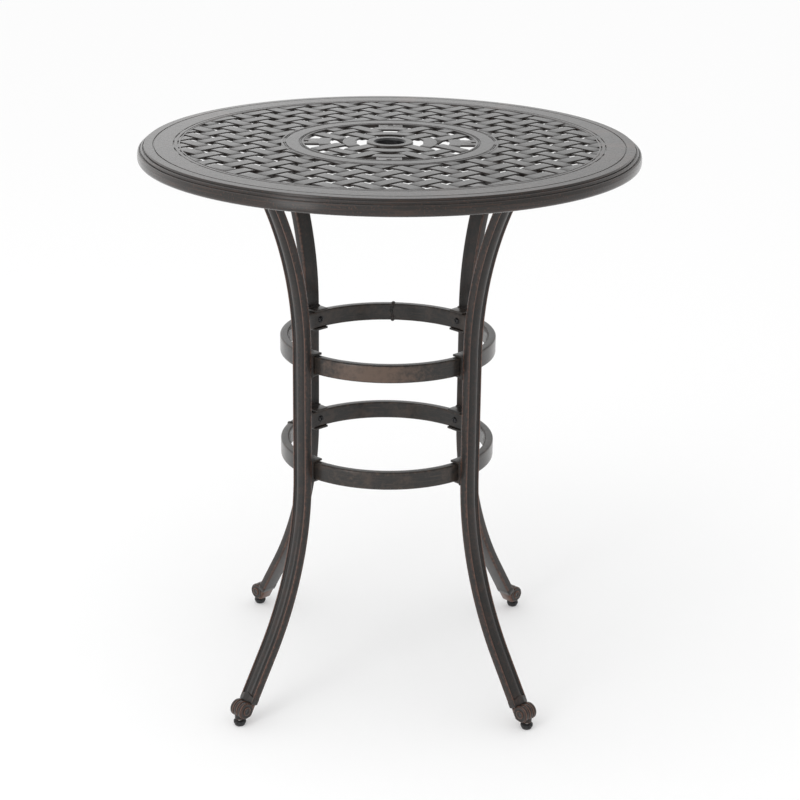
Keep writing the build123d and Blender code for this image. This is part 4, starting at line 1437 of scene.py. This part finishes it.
class BARTABLE_OT_leg_bolts(bpy.types.Operator):
    """Sets the bolts and washers that hold the legs to the top"""

    bl_idname = "bartable.leg_bolts"
    bl_label = "Leg Bolts and Washers"

    HOLE = 4.3 * MM
    FLAT_WASHER = 8 * MM
    LOCK_WASHER = 7 * MM
    SPLIT = math.radians(8)
    SPLIT_STEPS = 36
    SHANK = 4 * MM
    HEAD = 6.5 * MM
    HEAD_FACE = 5.6 * MM
    HEAD_BEVEL = 5.9 * MM
    LOCK_THICKNESS = 2 * MM

    def split_washer(self, zinc):
        """A spring washer, cut through at one side."""
        corners = rectangle(self.HOLE, self.LOCK_WASHER, LOCK_WASHER_LOW.z, LOCK_WASHER_HIGH.z,
                            0.2 * MM, 0.3 * MM, 0.3 * MM, 0.2 * MM)
        outline = soften(corners, steps=2, fade=0.4 * MM)
        rings = []
        for step in range(self.SPLIT_STEPS + 1):
            turn = self.SPLIT + (2 * math.pi - 2 * self.SPLIT) * step / self.SPLIT_STEPS
            rings.append([(r * math.cos(turn), r * math.sin(turn), z) for r, z, _ in outline])
        return skin("split", rings, zinc)

    def bolt(self, zinc):
        """A hexagon bolt, head down."""
        low, high, end = LEG_BOLT_LOW.z, LOCK_WASHER_HIGH.z - self.LOCK_THICKNESS, LEG_BOLT_HIGH.z
        rows = [(AXIS, low), (self.HEAD_FACE, low), (self.HEAD_BEVEL, low + 0.15 * MM),
                (self.HEAD, low + 0.7 * MM), (self.HEAD, high - 0.2 * MM), (self.HEAD - 0.2 * MM, high),
                (self.SHANK, high), (self.SHANK, end), (AXIS, end)]
        return lathe("bolt", [(radius, height, 0) for radius, height in rows], 48, zinc, hexagonal(3, 4, 5))

    def execute(self, context):
        leg = settings().leg
        zinc = zinc_plate()
        dice = random.Random(settings().seed)
        spots = [(spot(leg_top_radius(), azimuth, 0.0, side), dice.uniform(0, math.pi / 3))
                 for azimuth in LEGS.values() for side in (-leg.bolt_spread / 2, leg.bolt_spread / 2)]
        corners = rectangle(self.HOLE, self.FLAT_WASHER, FLAT_WASHER_LOW.z, FLAT_WASHER_HIGH.z,
                            0.2 * MM, 0.4 * MM, 0.2 * MM, 0.2 * MM)
        flat = lathe("washer", soften(corners, steps=2), 40, zinc)
        for name, piece, node in (
                ("leg_plain_washers", flat, "leg_flat_washers"),
                ("leg_spring_washers", self.split_washer(zinc), "leg_lock_washers"),
                ("leg_hexagon_bolts", self.bolt(zinc), "leg_bolts")):
            hand_in(placed(name, piece, spots, zinc), BODY, "zinc_steel", node)
        return {"FINISHED"}


class BARTABLE_OT_levellers(bpy.types.Operator):
    """Makes the notched pads, their threaded studs and the finish of the inserts"""

    bl_idname = "bartable.levellers"
    bl_label = "Levelling Feet"

    PAD = 11.2 * MM
    PAD_BASE = 8.3 * MM
    PAD_BORE = 3.1 * MM
    PAD_FLOOR = 2.9 * MM
    NOTCHES = 10
    NOTCH_RADIUS = 1.3 * MM
    NOTCH_DROP = 3.6 * MM
    STUD = 3.0 * MM
    THREAD_PITCH = 1.0 * MM
    THREAD_DEPTH = 0.32 * MM
    THREAD_STEPS = 8
    THREAD_SEGMENTS = 28
    POINT_LENGTH = 0.8 * MM
    POINT_TAPER = 0.6 * MM
    HEAD = 5.5 * MM
    HEAD_CORE = 2.5 * MM
    HEAD_HEIGHT = 2.5 * MM

    def execute(self, context):
        plastic = moulding("black_pad", 0.55)
        zinc = zinc_plate()
        brass = plain_metal("turned_brass", settings().finish.brass, 0.3)
        for name, azimuth in LEGS.items():
            here = Matrix.Translation(spot(FOOT_RADIUS, azimuth, 0.0))
            pad = moved(self.pad(f"notched_pad_{name}", plastic), here)
            hand_in(pad, f"pad_{name}", "pad_plastic", f"leveller_pad_{name}")
            stud = moved(self.stud(f"threaded_stud_{name}", zinc), here)
            hand_in(stud, f"stud_{name}", "zinc_steel", f"leveller_stud_{name}")
            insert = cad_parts[f"foot_insert_{name}"]
            insert.data.materials.clear()
            insert.data.materials.append(brass)
        return {"FINISHED"}

    def pad(self, name, plastic):
        """A tapered pad with a domed edge, notched round its upper half."""
        outer, high, notch_low = self.PAD, PAD_HEIGHT, PAD_HEIGHT - self.NOTCH_DROP
        outline = soften([
            (self.PAD_BORE, self.PAD_FLOOR, 0), (AXIS, self.PAD_FLOOR, 0), (AXIS, 0, 0),
            (self.PAD_BASE, 0, 2 * MM), (outer, notch_low, 0.3 * MM), (outer, high - 2.0 * MM, 0.2 * MM),
            (outer, high, 0.8 * MM), (self.PAD_BORE, high, 0.3 * MM)])

        def notched(radius, turn, row):
            if outline[row][1] < notch_low or radius < 6 * MM:
                return radius
            step = 2 * math.pi / self.NOTCHES
            away = abs((turn + step / 2) % step - step / 2) * outer
            if away >= self.NOTCH_RADIUS:
                return radius
            return min(radius, outer - math.sqrt(self.NOTCH_RADIUS ** 2 - away ** 2))

        return lathe(name, outline, 200, plastic, notched)

    def stud(self, name, zinc):
        """A stud with a helical thread, and the head that sits in the pad."""
        low, high = STUD_LOW.z, STUD_HIGH.z
        rows = int((high - low) / self.THREAD_PITCH * self.THREAD_STEPS)
        rings = []
        for row in range(rows + 1):
            height = low + (high - low) * row / rows
            taper = (1 - min(1.0, (high - height) / self.POINT_LENGTH)) * self.POINT_TAPER
            ring = []
            for part in (segment / self.THREAD_SEGMENTS for segment in range(self.THREAD_SEGMENTS)):
                phase = (height / self.THREAD_PITCH - part) % 1.0
                radius = self.STUD - self.THREAD_DEPTH * abs(2 * phase - 1) - taper
                turn = 2 * math.pi * part
                ring.append((radius * math.cos(turn), radius * math.sin(turn), height))
            rings.append(ring)
        top = low + self.HEAD_HEIGHT
        corners = rectangle(self.HEAD_CORE, self.HEAD, low, top, 0, 0.3 * MM, 0.3 * MM, 0)
        return joined(name, skin("shaft", rings, zinc), lathe("head", soften(corners, steps=2), 40, zinc))


class BARTABLE_OT_stage(bpy.types.Operator):
    """Lays the floor and sets the light and the camera"""

    bl_idname = "bartable.stage"
    bl_label = "Stage"

    FLOOR_HALF = 14.0
    FLOOR_GLOW = 0.11
    WHITE = (1, 1, 1, 1)
    FALL_FROM = -0.15
    FALL_TO = 0.2
    AIM = Vector((0, 0, 0.6))
    SENSOR = 36.0

    def execute(self, context):
        self.floor()
        self.light()
        self.camera()
        context.scene.view_settings.view_transform = "Standard"
        return {"FINISHED"}

    def seen(self, nodes):
        """1 for rays that show the background, 0 for those that only light the table."""
        rays = nodes.add("ShaderNodeLightPath").outputs
        direct = nodes.math("MAXIMUM", rays["Is Camera Ray"], rays["Is Glossy Ray"])
        return nodes.math("MAXIMUM", direct, rays["Is Transmission Ray"])

    def floor(self):
        """A plain pale floor with a little glow of its own."""
        size = self.FLOOR_HALF
        corners = rectangle(-size, size, -size, size, 0)
        material = bpy.data.materials.new("studio_floor")
        plane = mesh_object("floor", corners, [(0, 1, 2, 3)], material=material)
        nodes = emptied(material)
        cover = nodes.out("ShaderNodeBsdfDiffuse", {"Color": settings().finish.floor})
        glow = nodes.out("ShaderNodeEmission", {
            "Strength": nodes.math("MULTIPLY", self.seen(nodes), self.FLOOR_GLOW)})
        both = nodes.out("ShaderNodeAddShader", {0: cover, 1: glow})
        nodes.add("ShaderNodeOutputMaterial", {"Surface": both})

    def light(self):
        """An even white room, less bright at the right in what the lacquer mirrors, and two soft lights."""
        stage = settings().stage
        world = bpy.data.worlds.new("studio")
        nodes = emptied(world)
        even = nodes.out("ShaderNodeBackground", {"Color": self.WHITE, "Strength": stage.world})
        across = nodes.split(nodes.out("ShaderNodeTexCoord", socket="Generated"))["X"]
        fall = ramp(nodes, across, self.FALL_FROM, self.FALL_TO, 1.0, stage.fall)
        direct = nodes.out("ShaderNodeLightPath", socket="Is Camera Ray")
        white = nodes.out("ShaderNodeBackground", {
            "Color": self.WHITE, "Strength": nodes.math("MAXIMUM", fall, direct)})
        either = nodes.out("ShaderNodeMixShader", {0: self.seen(nodes), 1: even, 2: white})
        nodes.add("ShaderNodeOutputWorld", {"Surface": either})
        bpy.context.scene.world = world
        self.soft_box("soft_box_above", (-1.2, -1.6, 3.4), 2.4, 2.4, stage.lamp)
        self.soft_box("soft_box_left", (-1.9, -2.45, 1.2), 0.9, 2.3, stage.side_lamp)

    def soft_box(self, name, place, width, height, power):
        """A soft light that faces the table."""
        lamp = bpy.data.lights.new(name, "AREA")
        lamp.shape = "RECTANGLE"
        lamp.size = width
        lamp.size_y = height
        lamp.energy = power
        box = linked(name, lamp)
        box.location = place
        box.rotation_mode = "QUATERNION"
        box.rotation_quaternion = (self.AIM - box.location).to_track_quat("-Z", "Y")
        box.visible_camera = False

    def camera(self):
        """The camera, placed and turned as the stage's sizes say."""
        stage = settings().stage
        data = bpy.data.cameras.new("camera")
        data.sensor_width = self.SENSOR
        data.lens = stage.lens
        view = linked("camera", data)
        level = Vector((math.sin(stage.yaw), math.cos(stage.yaw), 0))
        forward = level * math.cos(stage.pitch) - Vector((0, 0, math.sin(stage.pitch)))
        right = Vector((math.cos(stage.yaw), -math.sin(stage.yaw), 0))
        up = right.cross(forward)
        rolled = right * math.cos(stage.roll) + up * math.sin(stage.roll)
        raised = up * math.cos(stage.roll) - right * math.sin(stage.roll)
        turn = Matrix((rolled, raised, -forward)).transposed()
        place = Vector((-math.sin(stage.swing), -math.cos(stage.swing), 0)) * stage.distance
        place.z = stage.height
        view.matrix_world = Matrix.Translation(place) @ turn.to_4x4()
        bpy.context.scene.camera = view


class BARTABLE_PT_sidebar(bpy.types.Panel):
    """The steps in the 3D view's sidebar"""

    bl_idname = "BARTABLE_PT_sidebar"
    bl_label = "Bar Table"
    bl_space_type = "VIEW_3D"
    bl_region_type = "UI"
    bl_category = "Bar Table"

    def draw(self, context):
        for step in STEPS:
            self.layout.operator(step.bl_idname)
        for part in ("top", "leg", "hoop", "finish", "stage"):
            group = getattr(context.scene.bar_table, part)
            box = self.layout.box()
            for name in group.__annotations__:
                box.prop(group, name)


STEPS = (
    BARTABLE_OT_rim, BARTABLE_OT_weave, BARTABLE_OT_medallion, BARTABLE_OT_bosses, BARTABLE_OT_sleeve,
    BARTABLE_OT_legs, BARTABLE_OT_feet, BARTABLE_OT_hoops, BARTABLE_OT_brackets, BARTABLE_OT_leg_bolts,
    BARTABLE_OT_levellers, BARTABLE_OT_stage)
CLASSES = (TopSizes, LegSizes, HoopSizes, Finishes, StageSizes, BarTable, *STEPS, BARTABLE_PT_sidebar)


def register():
    """Adds the classes and the scene's properties."""
    for made in CLASSES:
        bpy.utils.register_class(made)
    bpy.types.Scene.bar_table = PointerProperty(type=BarTable)


def unregister():
    """Removes them again."""
    del bpy.types.Scene.bar_table
    for made in reversed(CLASSES):
        bpy.utils.unregister_class(made)


def main():
    """Builds every piece in order."""
    register()
    for step in STEPS:
        group, name = step.bl_idname.split(".")
        getattr(getattr(bpy.ops, group), name)()


if __name__ == "__main__":
    main()
